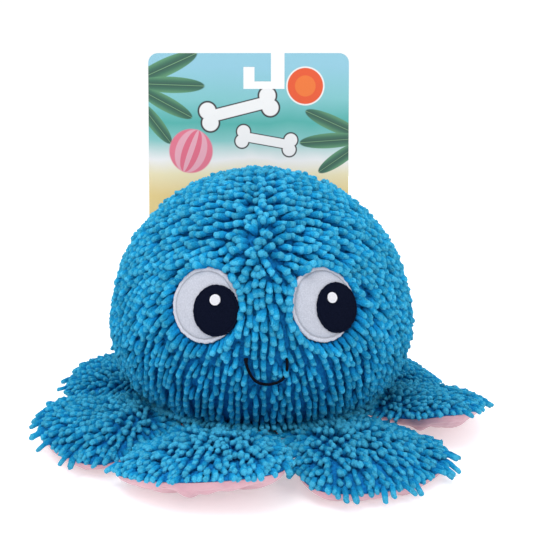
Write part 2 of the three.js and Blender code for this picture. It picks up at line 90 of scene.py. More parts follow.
TABLE_HALF = 6.0  # metres
TABLE_Z = -0.0004
corners = [(x * TABLE_HALF, y * TABLE_HALF, TABLE_Z) for x, y in ((-1, -1), (1, -1), (1, 1), (-1, 1))]
floor_mesh = bpy.data.meshes.new("floor")
floor_mesh.from_pydata(corners, [], [(0, 1, 2, 3)])
floor = bpy.data.objects.new("floor", floor_mesh)
scene.collection.objects.link(floor)
floor_paint, _, floor_shader = begin_material("floor_paint", 0.9)
feed(floor_shader, {"Base Color": (0.82, 0.82, 0.82, 1)})
feed(floor_shader, {"Emission Color": (1, 1, 1, 1), "Emission Strength": 0.36})
floor_mesh.materials.append(floor_paint)

surround = bpy.data.worlds.new("surround")
surround.use_nodes = True
scene.world = surround
# The tent is brightest overhead, dimmer lower down, and white again where its wall meets the table
sky = surround.node_tree
sky_height = add_node(sky, "SeparateXYZ", {"Vector": add_node(sky, "TexCoord", {})["Generated"]})["Z"]
glow = map_range(sky, sky_height, 0, 1, 0.42, 1.5)
wall = map_range(sky, sky_height, 0.24, 0.34, 1.03, 0.42)
light = {"Color": (0.985, 0.99, 1.0, 1), "Strength": maths(sky, "MAXIMUM", glow, wall)}
feed(sky.nodes["Background"], light)


def hang_lamp(name, place, size, power):
    lamp = bpy.data.objects.new(name, bpy.data.lights.new(name, "AREA"))
    lamp.data.shape = "DISK"
    lamp.data.size = size
    lamp.data.energy = power
    lamp.location = place
    aim = Vector((0, 0, 0.08)) - Vector(place)
    lamp.rotation_euler = aim.to_track_quat("-Z", "Y").to_euler()
    scene.collection.objects.link(lamp)


hang_lamp("lamp_over", (-0.25, -0.45, 1.3), 0.8, 7)
hang_lamp("lamp_front", (0.7, -1.2, 0.9), 0.7, 2)

# ---- Stuffing of the head --------------------------------
# Loose polyester fibre, pushed in by hand through the base, with a pocket for the squeaker and a
# last handful under it. It takes the shape of the cover round it, so its skin is only a little lumpy.
MM = 0.001


def new_piece(name, points, faces, *materials):
    """A mesh piece from points in millimetres; faces may be a list or an array of quads."""
    mesh = bpy.data.meshes.new(name)
    mesh.from_pydata(np.asarray(points, float) * MM, [], [tuple(face) for face in faces])
    mesh.update()
    mesh.polygons.foreach_set("use_smooth", np.ones(len(mesh.polygons), bool))
    piece = bpy.data.objects.new(name, mesh)
    scene.collection.objects.link(piece)
    for material in materials:
        mesh.materials.append(material)
    return piece


def noise_on(tree, scale, detail=3.0, roughness=0.55):
    """Noise that stays with the piece, in its own coordinates."""
    place = add_node(tree, "TexCoord", {})["Object"]
    inputs = {"Vector": place, "Scale": scale, "Detail": detail, "Roughness": roughness}
    return add_node(tree, "TexNoise", inputs)["Fac"]


def ramp_on(tree, factor, *stops):
    """A colour ramp; each stop is (position, red, green, blue)."""
    node = tree.nodes.new("ShaderNodeValToRGB")
    elements = node.color_ramp.elements
    while len(elements) < len(stops):
        elements.new(0.5)
    for element, (position, *colour) in zip(elements, stops):
        element.position = position
        element.color = (*colour, 1)
    feed(node, {"Fac": factor})
    return node.outputs["Color"]


def bump_on(shader, height, strength, distance):
    inputs = {"Height": height, "Strength": strength, "Distance": distance}
    feed(shader, {"Normal": add_node(shader.id_data, "Bump", inputs)["Normal"]})


def mottled(name, roughness, grain, low, high, relief, looks):
    """A material in two shades of fine noise, which gives it its relief too."""
    material, tree, shader = begin_material(name, roughness)
    mottle = noise_on(tree, *grain)
    feed(shader, {"Base Color": ramp_on(tree, mottle, low, high), **looks})
    bump_on(shader, mottle, *relief)
    return material


FIBRE = mottled(
    "polyester_fibre", 1.0, (420, 6.0, 0.7), (0.35, 0.72, 0.71, 0.68), (0.62, 0.93, 0.92, 0.90),
    (0.8, 0.002), {"Sheen Weight": 0.4},
)


def stuff_like(node, name, body, dent, settle=None):
    """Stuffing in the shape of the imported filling, more finely divided, with shallow dents in it."""
    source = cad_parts[node].data
    mesh = bpy.data.meshes.new(name)
    mesh.from_pydata([v.co for v in source.vertices], [], [tuple(p.vertices) for p in source.polygons])
    piece = bpy.data.objects.new(name, mesh)
    scene.collection.objects.link(piece)
    piece.modifiers.new("weld", "WELD").merge_threshold = 0.02 * MM
    divide = piece.modifiers.new("divide", "SUBSURF")
    divide.subdivision_type = "SIMPLE"
    divide.levels = 2
    shaped = bpy.data.meshes.new_from_object(piece.evaluated_get(bpy.context.evaluated_depsgraph_get()))
    piece.modifiers.clear()
    piece.data = shaped
    shaped.name = name
    points, normals = np.zeros((2, len(shaped.vertices), 3))
    shaped.vertices.foreach_get("co", points.ravel())
    shaped.vertices.foreach_get("normal", normals.ravel())
    waves = ((0.31, 0.12, 0.23, 0.4), (-0.17, 0.35, 0.11, 1.9), (0.08, -0.21, 0.37, 3.1))
    lumps = sum(np.sin(points / MM @ np.array(direction) + phase) for *direction, phase in waves)
    points -= normals * ((lumps / 3 + 1) / 2 * dent * MM)[:, None]
    if settle:
        points = settle(points / MM) * MM
    shaped.vertices.foreach_set("co", points.ravel())
    shaped.polygons.foreach_set("use_smooth", np.ones(len(shaped.polygons), bool))
    shaped.materials.clear()
    shaped.materials.append(FIBRE)
    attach(piece, body)
    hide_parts(node)


stuff_like("head_filling", "head_stuffing", "toy_head", 0.5)
stuff_like("head_filling_plug", "head_stuffing_plug", "toy_head", 0.25)

# ---- Squeaker --------------------------------------------
# A drum blown from soft polyethylene and a harder whistle barrel pushed into its neck. Both are
# hidden in the stuffing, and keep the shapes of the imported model.


def plastic(name, colour, roughness, speck, looks):
    low = [part * (1 - speck) for part in colour]
    return mottled(name, roughness, (900, 2.0), (0.3, *low), (0.7, *colour), (0.12, 0.0002), looks)


def dress(node, material):
    """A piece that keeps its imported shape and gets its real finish."""
    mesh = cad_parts[node].data
    mesh.materials.clear()
    mesh.materials.append(material)


milky = {"Subsurface Weight": 0.2, "Subsurface Scale": 0.002}
dress("squeaker_drum", plastic("blown_plastic", (0.80, 0.78, 0.70), 0.42, 0.06, milky))
dress("squeaker_reed", plastic("reed_plastic", (0.58, 0.64, 0.66), 0.3, 0.04, {}))

# ---- Pile cover of the head ------------------------------
# Four gores of chenille noodle fabric, sewn to each other and drawn into the seams. Each noodle is a
# soft velvety cord about 4 mm thick, tufted through a knitted backing painted dark as the shade between
# them. The noodles lie outwards on the crown, slant down beside the face, hang over the cheeks and
# stand up on the forehead.
# Sizes are in millimetres, turns in degrees.
HEAD_RADIUS = 104.0  # to the tips of the pile
HEAD_WIDEST_Z = 77.0
CROWN_HEIGHT = 99.0
UNDER_DEPTH = 95.0
HEAD_FOOT_Z = 15.3
BACKING_INSET = 5.0  # from the tips of the pile
BACKING_SHEET = 0.9
SEAM_DRAW = 0.9
SEAM_SPREAD = 8.0
NOODLE_RADIUS = 2.1
NOODLE_LENGTH = 10.4
NOODLE_REACH = 0.94  # of its length, as it bends over
NOODLE_SIDES = 8
FOOT_ROW_RADIUS = 77.5
FACE_TURN = 1.7
EYE_TURN = 21.0
EYE_Z = 100.2
EYE_HALF = (20.8, 22.5)
PUPIL_HALF = (13.9, 15.1)
PUPIL_MIDDLE = (8.1, -2.8)
FELT_TOP = 1.7  # down from the tips of the pile
FELT_BOTTOM = 3.7


def unit(vectors):
    return vectors / np.maximum(np.linalg.norm(vectors, axis=-1, keepdims=True), 1e-9)


def smooth(value, start, end):
    """0 at start, 1 at end, with a soft change between them."""
    share = np.clip((np.asarray(value, float) - start) / (end - start), 0, 1)
    return share * share * (3 - 2 * share)


def half_height(above_widest):
    return np.where(above_widest >= 0, CROWN_HEIGHT, UNDER_DEPTH)


def head_point(turn, climb, inset=0.0):
    """A point of the head's surface. Turn counts from the face, in degrees; climb is in radians."""
    turn, climb = np.broadcast_arrays(np.asarray(turn, float), np.asarray(climb, float))
    from_seam = turn - 90 * np.round(turn / 90)
    pull = SEAM_DRAW * np.exp(-((from_seam / SEAM_SPREAD) ** 2))
    radius = (HEAD_RADIUS - inset - pull) * np.cos(climb)
    angle = np.radians(turn)
    z = HEAD_WIDEST_Z + (half_height(climb) - inset) * np.sin(climb)
    return np.stack([radius * np.sin(angle), -radius * np.cos(angle), z], -1)


def turn_and_climb(points):
    """Where the head's surface is nearest to a point, as turn in degrees and climb in radians."""
    x, y, z = points[..., 0], points[..., 1], points[..., 2] - HEAD_WIDEST_Z
    return np.degrees(np.arctan2(x, -y)), np.arctan2(z / half_height(z), np.hypot(x, y) / HEAD_RADIUS)


def head_outward(points):
    x, y, z = points[..., 0], points[..., 1], points[..., 2] - HEAD_WIDEST_Z
    return unit(np.stack([x / HEAD_RADIUS**2, y / HEAD_RADIUS**2, z / half_height(z) ** 2], -1))


def eye_frame(side):
    """Middle, level direction, upward direction and outward direction of an eye patch."""
    climb = math.asin((EYE_Z - HEAD_WIDEST_Z) / CROWN_HEIGHT)
    tilt = math.atan(math.tan(climb) * HEAD_RADIUS / CROWN_HEIGHT)
    turn = FACE_TURN + side * EYE_TURN
    angle = math.radians(turn)
    level = np.array([math.cos(angle), math.sin(angle), 0])
    flat = math.cos(tilt)
    out = np.array([math.sin(angle) * flat, -math.cos(angle) * flat, math.sin(tilt)])
    middle = head_point(turn, climb)
    return middle, level, np.cross(out, level), out


EYE_FRAMES = {"left": eye_frame(-1), "right": eye_frame(1)}


def on_eye(points, frame_of_eye):
    """Distances aside and up over an eye patch, and whether a point is on that side of the head."""
    middle, level, up, out = frame_of_eye
    offset = points - middle
    return offset @ level, offset @ up, offset @ out > -30


def over_felt(points, grow):
    """True where a point of the pile is over an eye's felt, grown by some millimetres."""
    covered = np.zeros(points.shape[:-1], bool)
    for frame_of_eye in EYE_FRAMES.values():
        aside, up, near = on_eye(points, frame_of_eye)
        for middle, half in (((0, 0), EYE_HALF), (PUPIL_MIDDLE, PUPIL_HALF)):
            level, upright = (aside - middle[0]) / (half[0] + grow), (up - middle[1]) / (half[1] + grow)
            covered |= near & (level**2 + upright**2 < 1)
    return covered


# The mouth's line over the face, as distances aside and heights, from the left end to the right end.
# Between its two cleared parts a noodle lies over it.
MOUTH_LINE = np.array(
    [(-8.0, 69.7), (-7.6, 65.1), (-6.1, 61.7), (-4.0, 57.0), (-1.6, 54.6), (1.6, 53.4), (4.5, 52.8)]
    + [(8.0, 53.6), (10.5, 54.2), (14.0, 56.3), (16.1, 60.0), (16.3, 64.0), (16.0, 69.4)]
)
MOUTH_CLEARED = np.concatenate(
    [
        part[:-1] + (part[1:] - part[:-1]) * share
        for part in (MOUTH_LINE[:10], MOUTH_LINE[11:])
        for share in (0, 0.33, 0.66)
    ]
)


def near_mouth(points, margin):
    """True where a point of the face is close to a part of the mouth that no noodle covers."""
    gaps = np.linalg.norm(points[..., None, ::2] - MOUTH_CLEARED, axis=-1).min(-1)
    return (gaps < margin) & (points[..., 1] < 0)


def roots_behind_felt():
    """Roots of the row of noodles that stands right behind the edge of each eye's felt."""
    in_row, off_felt, step = 34, 1.8, 0.3
    spots = []
    for middle, level, up, _ in EYE_FRAMES.values():
        for angle in np.arange(in_row) * 2 * np.pi / in_row:
            spot, grow = middle, 1.9
            while over_felt(spot, off_felt):
                aside = (EYE_HALF[0] + grow) * math.cos(angle) * level
                edge = aside + (EYE_HALF[1] + grow) * math.sin(angle) * up
                spot = head_point(*turn_and_climb(middle + edge))
                grow += step
            spots.append(spot)
    return np.array(spots)


def noodle_points(root, outward, lean, tilt, length, radius, club, rng):
    """Rings of points for noodles that rise from their roots and bend over, and a little to one side.
    Where club is 1 they are thin at the root and thick at the tip. Returns points (noodle, ring, side)
    with the root's and the tip's middle points, and how far along they are."""
    reach = (NOODLE_REACH * length)[:, None]
    rise, run = np.cos(tilt)[:, None], np.sin(tilt)[:, None]
    across = unit(np.cross(outward, lean))
    shoulder = root + outward * reach * 0.5 * (0.55 + 0.45 * rise) + lean * reach * 0.175 * run
    shoulder = shoulder + across * rng.normal(0, 0.9, (len(root), 1))
    tip = root + outward * reach * rise + lean * reach * run
    last = 2 * np.linalg.norm(tip - shoulder, axis=1)
    cap = np.minimum(radius / last, 0.33)
    stem = [np.full(len(root), share) for share in (0.0, 0.2, 0.4, 0.58)]
    stations = np.stack([*stem, 1 - cap, 1 - 0.42 * cap, 1 - 0.06 * cap], 1)
    even = np.array([0.86, 0.95, 1.0, 1.0, 0.98, 0.85, 0.56])
    clubbed = np.array([0.70, 0.76, 0.88, 0.98, 1.0, 0.88, 0.58])
    girth = (even + (clubbed - even) * club[:, None]) * rng.normal(1, 0.06, stations.shape)
    t = stations[..., None]
    centre = (1 - t) ** 2 * root[:, None] + 2 * t * (1 - t) * shoulder[:, None] + t**2 * tip[:, None]
    centre = centre + rng.normal(0, 0.16, centre.shape) * t
    heading = unit(2 * (1 - t) * (shoulder - root)[:, None] + 2 * t * (tip - shoulder)[:, None])
    across = unit(across[:, None] - heading * np.sum(across[:, None] * heading, -1, keepdims=True))
    over = np.cross(heading, across)
    angle = 2 * np.pi * np.arange(NOODLE_SIDES) / NOODLE_SIDES
    ring = np.cos(angle)[:, None] * across[:, :, None] + np.sin(angle)[:, None] * over[:, :, None]
    # The velvet is uneven all round, in patches of about a millimetre
    velvet = rng.normal(1, 0.14, (*stations.shape, NOODLE_SIDES))
    rings = centre[:, :, None] + ring * ((radius[:, None] * girth)[..., None] * velvet)[..., None]
    return rings, root, tip, stations


def tube_quads(levels, sides):
    """Quads of a tube, whose points run round one ring after the other."""
    around = np.arange(sides)
    following = (around + 1) % sides
    low = np.arange(levels - 1)[:, None] * sides
    high = low + sides
    return np.stack([low + around, low + following, high + following, high + around], -1).reshape(-1, 4)


def noodle_mesh(rings, roots, tips, stations):
    """Points, faces and the two tint values of many noodles: closed tubes with round ends."""
    count, levels, sides, _ = rings.shape
    each = levels * sides + 2
    points = np.concatenate([rings.reshape(count, -1, 3), roots[:, None], tips[:, None]], 1)
    points = points.reshape(-1, 3)
    around = np.arange(sides)
    following = (around + 1) % sides
    starts = np.arange(count)[:, None, None] * each
    top = (levels - 1) * sides
    root_fan = np.stack([following, around, np.full(sides, levels * sides)], 1)
    tip_fan = np.stack([top + around, top + following, np.full(sides, levels * sides + 1)], 1)
    faces = [tuple(face) for face in (tube_quads(levels, sides) + starts).reshape(-1, 4)]
    faces += [tuple(face) for face in (np.concatenate([root_fan, tip_fan]) + starts).reshape(-1, 3)]
    ends = np.zeros((count, 1)), np.ones((count, 1))
    along = np.concatenate([np.repeat(stations, sides, 1), *ends], 1).ravel()
    return points, faces, along, each


def lay_rows(starts, heading, spacing, inside, project, spare):
    """Evenly spaced rows of roots that follow the comb of the pile, each staggered against the last.
    heading(point) is the comb's direction, spacing(point) the gap between rows and the pitch along a
    row. starts holds the points that rows begin at first, and spare holds points all over the piece,
    some of which fill the holes that the rows leave."""
    most, longest_row = 12000, 60
    start_clear, row_clear, hole_clear = 0.9, 0.78, 0.52  # shares of the gap
    placed = np.zeros((most, 3))
    total = taken = 0
    waiting = [np.asarray(start, float) for start in starts]

    def crowded(point, clear):
        return total and np.min(np.sum((placed[:total] - point) ** 2, 1)) < clear**2

    while taken < len(waiting):
        seed = waiting[taken]
        taken += 1
        if not inside(seed):
            continue
        gap = spacing(seed)[0]
        if crowded(seed, start_clear * gap):
            continue
        row = [seed]
        for sense in (1, -1):
            point = seed
            for _ in range(longest_row):
                gap, pitch = spacing(point)
                point = project(point + sense * pitch * heading(point))
                if not inside(point) or crowded(point, row_clear * gap):
                    break
                row.append(point)
        placed[total : total + len(row)] = row
        total += len(row)
        for point in row:
            gap, pitch = spacing(point)
            along = heading(point)
            sideways = np.cross(along, unit(point - np.array([0, 0, HEAD_WIDEST_Z])))
            for side in (1, -1):
                waiting.append(project(point + side * gap * unit(sideways) + 0.5 * pitch * along))
    for point in spare:
        gap, pitch = spacing(point)
        nearest = np.min(np.sum((placed[:total] - point) ** 2, 1))
        if inside(point) and nearest > hole_clear * gap * pitch:
            placed[total] = point
            total += 1
    return placed[:total]


def off_middle(turn):
    """Degrees from the plane that halves the face and the back of the head."""
    return 90 - np.abs(90 - np.abs(turn))


def head_comb(point):
    """Direction in which the head's noodles lie, along the surface."""
    turn, climb = turn_and_climb(point)
    climb = np.degrees(climb)
    climbs = [-45, -35, -20, -5, 10, 26, 42]
    outwards = np.interp(climb, climbs, [0.05, 0.12, 0.34, 0.5, 0.8, 0.95, 1.0])
    downwards = np.interp(climb, [-45, -6, 10, 26, 38, 52], [1.0, 0.95, 0.8, 0.55, 0.25, 0.0])
    parting = smooth(off_middle(turn), 0, 24)
    outwards = outwards * (parting + (1 - parting) * smooth(climb, 23, 42))
    wish = np.array([outwards * (1.0 if point[0] >= 0 else -1.0), 0.0, -downwards - 0.02])
    normal = head_outward(point)
    return unit(wish - normal * (wish @ normal))


def cheek_bulge(turn, climb):
    """Millimetres that the cheeks swell out low on both sides. Turn in degrees, climb in radians."""
    side = smooth(np.abs(np.sin(np.radians(turn))), 0.45, 0.95)
    return 3.4 * side * smooth(-climb, -0.30, 0.12) * (1 - smooth(-climb, 0.35, 0.62))


def under_face(turn, climb):
    """1 low on the front and back, where the noodles hang like tiles, 0 elsewhere. Climb in degrees."""
    return smooth(-climb, -6, 8) * (1 - smooth(off_middle(turn), 15, 40))


def over_face(turn, climb):
    """1 on the forehead, where the noodles turn downwards and stand out more, and 0 elsewhere."""
    return np.exp(-((off_middle(turn) / 15) ** 2)) * smooth(climb, 12, 22) * (1 - smooth(climb, 34, 46))


def head_spacing(point):
    turn, climb = turn_and_climb(point)
    low, high = float(under_face(turn, np.degrees(climb))), float(over_face(turn, np.degrees(climb)))
    return 5.1 - 0.2 * low + 0.1 * high, 5.8 + 1.1 * low - 0.4 * high


def head_tilt(points):
    """How far noodles lie over, in degrees from standing straight out of the fabric."""
    turn, climb = turn_and_climb(points)
    climb = np.degrees(climb)
    tilt = np.full(len(points), 64.0) - 3 * under_face(turn, climb)
    tilt -= 10 * np.exp(-((points[:, 0] / 9) ** 2)) * smooth(climb, 26, 42)
    # They stand out a little more over the cheeks, and most on the side that the face turns to
    tilt -= (7 + 5 * np.sign(points[:, 0])) * smooth(np.abs(points[:, 0]), 60, 92)
    return tilt - 11 * over_face(turn, climb)


def head_girth(points):
    """How thick the noodles look: the ones that point at the viewer on the forehead spread most."""
    turn, climb = turn_and_climb(points)
    climb = np.degrees(climb)
    girth = 0.98 + 0.02 * smooth(climb, 8, 30) + 0.05 * over_face(turn, climb)
    return girth - 0.16 * smooth(-climb, -16, 8) - 0.06 * under_face(turn, climb)


def read_tint(tree):
    """The values that each point of a piece holds for its material."""
    return add_node(tree, "VertexColor", {}, layer_name="tint")["Color"]


def mix(tree, share, first, second, blend="MIX"):
    inputs = {"Fac": share, "Color1": first, "Color2": second}
    return add_node(tree, "MixRGB", inputs, blend_type=blend)["Color"]


def chenille_material():
    """Velvety blue cord, mottled all over; painted shade darkens its root and a painted highlight
    lightens its tip.
    """
    material, tree, shader = begin_material("chenille_noodle", 0.88)
    parts = add_node(tree, "SeparateColor", {"Color": read_tint(tree)})
    speckle = noise_on(tree, 1100, 3.0, 0.6)
    # Painted shade towards each noodle's root and a painted highlight towards its tip
    colour = ramp_on(
        tree,
        maths(tree, "MULTIPLY_ADD", speckle, 0.34, parts["Red"]),
        (0.15, 0.003, 0.150, 0.440),
        (0.55, 0.005, 0.212, 0.525),
        (0.92, 0.013, 0.315, 0.600),
        (1.0, 0.055, 0.425, 0.680),
    )
    # Each noodle has its own shade, mottled by the speckle
    mottle = maths(tree, "MULTIPLY_ADD", speckle, 1.3, -0.4)
    shade = map_range(tree, maths(tree, "MULTIPLY_ADD", parts["Green"], 0.5, mottle), 0, 1, 0.58, 1.36)
    looks = {"Base Color": mix(tree, 1.0, colour, shade, "MULTIPLY"), "Specular IOR Level": 0.02}
    sheen = {"Sheen Weight": 0.24, "Sheen Roughness": 0.4, "Sheen Tint": (0.07, 0.7, 1.0, 1)}
    feed(shader, {**looks, **sheen})
    bump_on(shader, speckle, 1.0, 0.0016)
    return material


CHENILLE = chenille_material()
# Knitted backing, which shows deep between the noodles; its dark blue is painted shade down there
BACKING = mottled(
    "pile_backing", 0.95, (560, 3.0), (0.32, 0.004, 0.110, 0.36), (0.66, 0.008, 0.215, 0.52),
    (1.0, 0.0016), {"Specular IOR Level": 0.03},
)


def grid_faces(rows, columns, offset=0, flip=False):
    """Quads of a grid of points."""
    index = offset + np.arange(rows * columns).reshape(rows, columns)
    corners = index[:-1, :-1], index[:-1, 1:], index[1:, 1:], index[1:, :-1]
    quads = np.stack(corners, -1).reshape(-1, 4)
    return quads[:, ::-1] if flip else quads


def sheet_between(outer, inner):
    """A closed sheet between two grids of points: both faces and the four edges."""
    rows, columns, _ = outer.shape
    points = np.concatenate([outer.reshape(-1, 3), inner.reshape(-1, 3)])
    size = rows * columns
    faces = [grid_faces(rows, columns), grid_faces(rows, columns, size, True)]
    index = np.arange(size).reshape(rows, columns)
    edges = (index[0], True), (index[-1], False), (index[:, 0], False), (index[:, -1], True)
    for edge, flip in edges:
        strip = np.stack([edge[:-1], edge[1:], edge[1:] + size, edge[:-1] + size], 1)
        faces.append(strip[:, ::-1] if not flip else strip)
    return points, np.concatenate(faces)


def give_tint(piece, values):
    """Stores up to three values for each point of a piece, which its material reads as a colour."""
    colours = np.ones((len(values), 4))
    colours[:, : values.shape[1]] = values
    tint = piece.data.color_attributes.new("tint", "FLOAT_COLOR", "POINT")
    tint.data.foreach_set("color", colours.ravel())


def pile_piece(name, noodles, shades, backing, body, nodes):
    """One piece of pile fabric: its noodles and, under them, its backing sheet."""
    points, faces, along, each = noodles
    sheet_points, sheet_faces = backing
    faces = faces + [tuple(face) for face in (sheet_faces + len(points))]
    piece = new_piece(name, np.concatenate([points, sheet_points]), faces, CHENILLE, BACKING)
    slots = np.zeros(len(faces), np.int32)
    slots[len(faces) - len(sheet_faces) :] = 1
    piece.data.polygons.foreach_set("material_index", slots)
    noodle_tint = np.stack([along, np.repeat(shades, each)], 1)
    give_tint(piece, np.concatenate([noodle_tint, np.zeros((len(sheet_points), 2))]))
    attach(piece, body)
    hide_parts(*nodes)


def head_gore(name, first_turn, seed):
    """One gore of the head, from first_turn to the seam a quarter turn further on."""
    rng = np.random.default_rng(seed)
    seam_clear, felt_row_clear, spare_count = 0.8, 3.7, 4500
    seams = []
    for seam, sense in ((first_turn, 1), (first_turn + 90, -1)):
        angle = math.radians(seam)
        seams.append((seam, sense, np.array([math.cos(angle), math.sin(angle), 0]) * sense))

    def inside(point):
        off_seams = [point[0] * aside[0] + point[1] * aside[1] for _, _, aside in seams]
        return min(off_seams) > seam_clear and point[2] > HEAD_FOOT_Z + 2

    def project(point):
        return head_point(*turn_and_climb(point))

    # Rows begin along both seams, half a gap from each, so that they run on evenly in the next gore
    starts = []
    for seam, _, aside in seams:
        for climb in np.concatenate([[0.05], np.arange(0.45, 1.5, 0.066)]):
            place = head_point(seam, climb)
            starts.append(project(place + aside * 0.5 * head_spacing(place)[0]))
    starts.append(head_point(first_turn + 45, 0.25))
    spare_climb = np.arcsin(rng.uniform(-0.64, 1, spare_count))
    spare = head_point(rng.uniform(first_turn, first_turn + 90, spare_count), spare_climb)
    roots = lay_rows(starts, head_comb, head_spacing, inside, project, spare)
    behind_felt = np.array([spot for spot in roots_behind_felt() if inside(spot)])
    if len(behind_felt):
        far = np.min(np.linalg.norm(roots[:, None] - behind_felt[None], axis=2), 1) > felt_row_clear
        roots = np.concatenate([roots[far], behind_felt])
    # Noodles that cross each other at random fill the parting over the crown
    seam_climb = np.arange(0.42, 1.56, 0.052)
    parting = np.concatenate(
        [
            head_point(seam, seam_climb + 0.026 * (sense < 0)) + aside * 0.9
            for seam, sense, aside in seams
        ]
    )
    roots = np.concatenate([roots, parting])
    roots = roots + rng.normal(0, 0.22, roots.shape)
    # A last row at the foot lies level, out over the roots of the lobes
    foot_turn = np.arange(first_turn + 1.0, first_turn + 90, 2.3)
    foot = head_point(foot_turn, math.asin((HEAD_FOOT_Z + 2.2 - HEAD_WIDEST_Z) / UNDER_DEPTH))
    roots = np.concatenate([roots, foot])
    count = len(roots)
    in_foot = np.arange(count) >= count - len(foot)
    in_parting = ~in_foot & (np.arange(count) >= count - len(foot) - len(parting))
    outward = head_outward(roots)
    roots = project(roots)
    lean = np.array([head_comb(point) for point in roots])
    across = np.cross(outward, lean)
    loose = np.exp(-((roots[:, 0] / 16) ** 2)) * smooth(np.degrees(turn_and_climb(roots)[1]), 18, 34)
    sway = np.radians(rng.normal(0, 1, count) * (5.5 + 20 * loose))
    tilt = head_tilt(roots) + rng.normal(0, 3.5, count)
    stray = rng.random(count) < 0.025
    sway[stray] *= 2.5
    tilt[stray] -= 16
    sway[in_parting] = rng.choice([-1, 1], len(parting)) * rng.uniform(0.9, 2.3, len(parting))
    tilt[in_parting] = rng.uniform(30, 58, len(parting))
    lean = unit(lean * np.cos(sway)[:, None] + across * np.sin(sway)[:, None])
    turn, climb = turn_and_climb(roots)
    low, high = under_face(turn, np.degrees(climb)), over_face(turn, np.degrees(climb))
    length = NOODLE_LENGTH * rng.uniform(0.88, 1.1, count) * (1 - 0.16 * low - 0.12 * high)
    length[in_parting] *= 0.9
    radius = NOODLE_RADIUS * head_girth(roots) * rng.uniform(0.92, 1.08, count)
    sunk = BACKING_INSET - cheek_bulge(turn, climb) - 0.8 * over_felt(roots, 3.4)
    ground = roots - outward * sunk[:, None]
    level_out = unit(roots[in_foot] * (1, 1, 0))
    ground[in_foot] = level_out * FOOT_ROW_RADIUS + (0, 0, HEAD_FOOT_Z + 2.4)
    outward[in_foot] = (0, 0, 1)
    lean[in_foot] = level_out
    tilt[in_foot] = rng.uniform(74, 90, len(foot))
    length[in_foot] = rng.uniform(10.5, 12.5, len(foot))
    keep = ~over_felt(roots, 1.2) & ~near_mouth(roots, 0.6)
    # Noodles beside the felt are pushed aside by it, and the ones at the mouth and the foot are shorter
    for _ in range(8):
        reach = (NOODLE_REACH * length)[:, None]
        rise, run = np.cos(np.radians(tilt))[:, None], np.sin(np.radians(tilt))[:, None]
        on_felt, on_mouth = np.zeros((2, count), bool)
        for share in (0.7, 1.0):
            spot = ground + outward * reach * rise + lean * reach * share * run
            on_felt |= over_felt(spot, 0.9)
            on_mouth |= near_mouth(spot, 1.5)
        on_mouth |= spot[:, 2] < HEAD_FOOT_Z - 4
        for middle, *_ in EYE_FRAMES.values():
            away = roots - middle
            away = unit(away - outward * np.sum(away * outward, 1)[:, None])
            push = on_felt & (np.linalg.norm(roots - middle, axis=1) < 40)
            lean = np.where(push[:, None], unit(lean + 0.42 * away), lean)
        tilt = np.where(on_felt, tilt * 0.95, tilt)
        length = np.where(on_mouth, length * 0.88, length)
    kept = (part[keep] for part in (ground, outward, lean, np.radians(tilt), length, radius, low))
    rings = noodle_points(*kept, rng)
    turns = np.linspace(first_turn + 0.01, first_turn + 89.99, 91)
    foot_climb = math.asin((HEAD_FOOT_Z + 0.2 - HEAD_WIDEST_Z) / (UNDER_DEPTH - BACKING_INSET))
    climbs = np.linspace(foot_climb, np.pi / 2 - 0.004, 91)
    turn_grid, climb_grid = np.meshgrid(turns, climbs)
    plain = head_point(turn_grid, climb_grid)
    raised = over_felt(plain, 0.5) * (BACKING_INSET - FELT_BOTTOM - 0.2)
    raised = raised + rng.uniform(-0.2, 0.9, raised.shape) * (raised == 0)
    raised = raised + cheek_bulge(turn_grid, climb_grid)
    outer = head_point(turn_grid, climb_grid, BACKING_INSET) + head_outward(plain) * raised[..., None]
    inner = head_point(turn_grid, climb_grid, BACKING_INSET + BACKING_SHEET)
    shades = rng.random(np.count_nonzero(keep))
    gore = name.replace("pile", "gore")
    pile_piece(name, noodle_mesh(*rings), shades, sheet_between(outer, inner), "toy_head", [gore])


head_gore("head_pile_front_right", 0, 11)
head_gore("head_pile_back_right", 90, 12)
head_gore("head_pile_back_left", 180, 13)
head_gore("head_pile_front_left", 270, 14)

# ---- Lobes -----------------------------------------------
# Eight leaf-shaped pads sewn round the base: pile fabric on top, smooth pink cloth with small
# gathers below, a little fibre between them. The noodles lie outwards and stick out past the seam.
LOBE_LENGTH = 78.0
LOBE_ROOT_HALF = 28.0
LOBE_HALF_WIDTH = 49.0
LOBE_WIDEST = 52.0
LOBE_MIDDLE = 40.0
LOBE_SEAM_Z = 13.0
LOBE_RISE = 9.0
LOBE_TOP = 14.0
LOBE_PILE = 7.0
LOBE_BELLY = 13.5
LOBE_ROOT_X = 82.0
ROOT_THINNING = 30.0
LOBE_RING_TURN = 8.5
LOBE_NOODLE_LENGTH = 9.0
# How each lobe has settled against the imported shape, from the first lobe round to the eighth: how far
# its tip hangs down, how far its left edge (seen from the tip) dips more, and how long it is drawn
LOBE_SETTLING = [
    (15, 2, 0.97),
    (4, 11, 0.95),
    (12, -6, 0.85),
    (8, 0, 1.0),
    (8, 0, 1.0),
    (4, 1, 0.82),
    (11, 2, 0.96),
    (2, -6, 1.0),
]


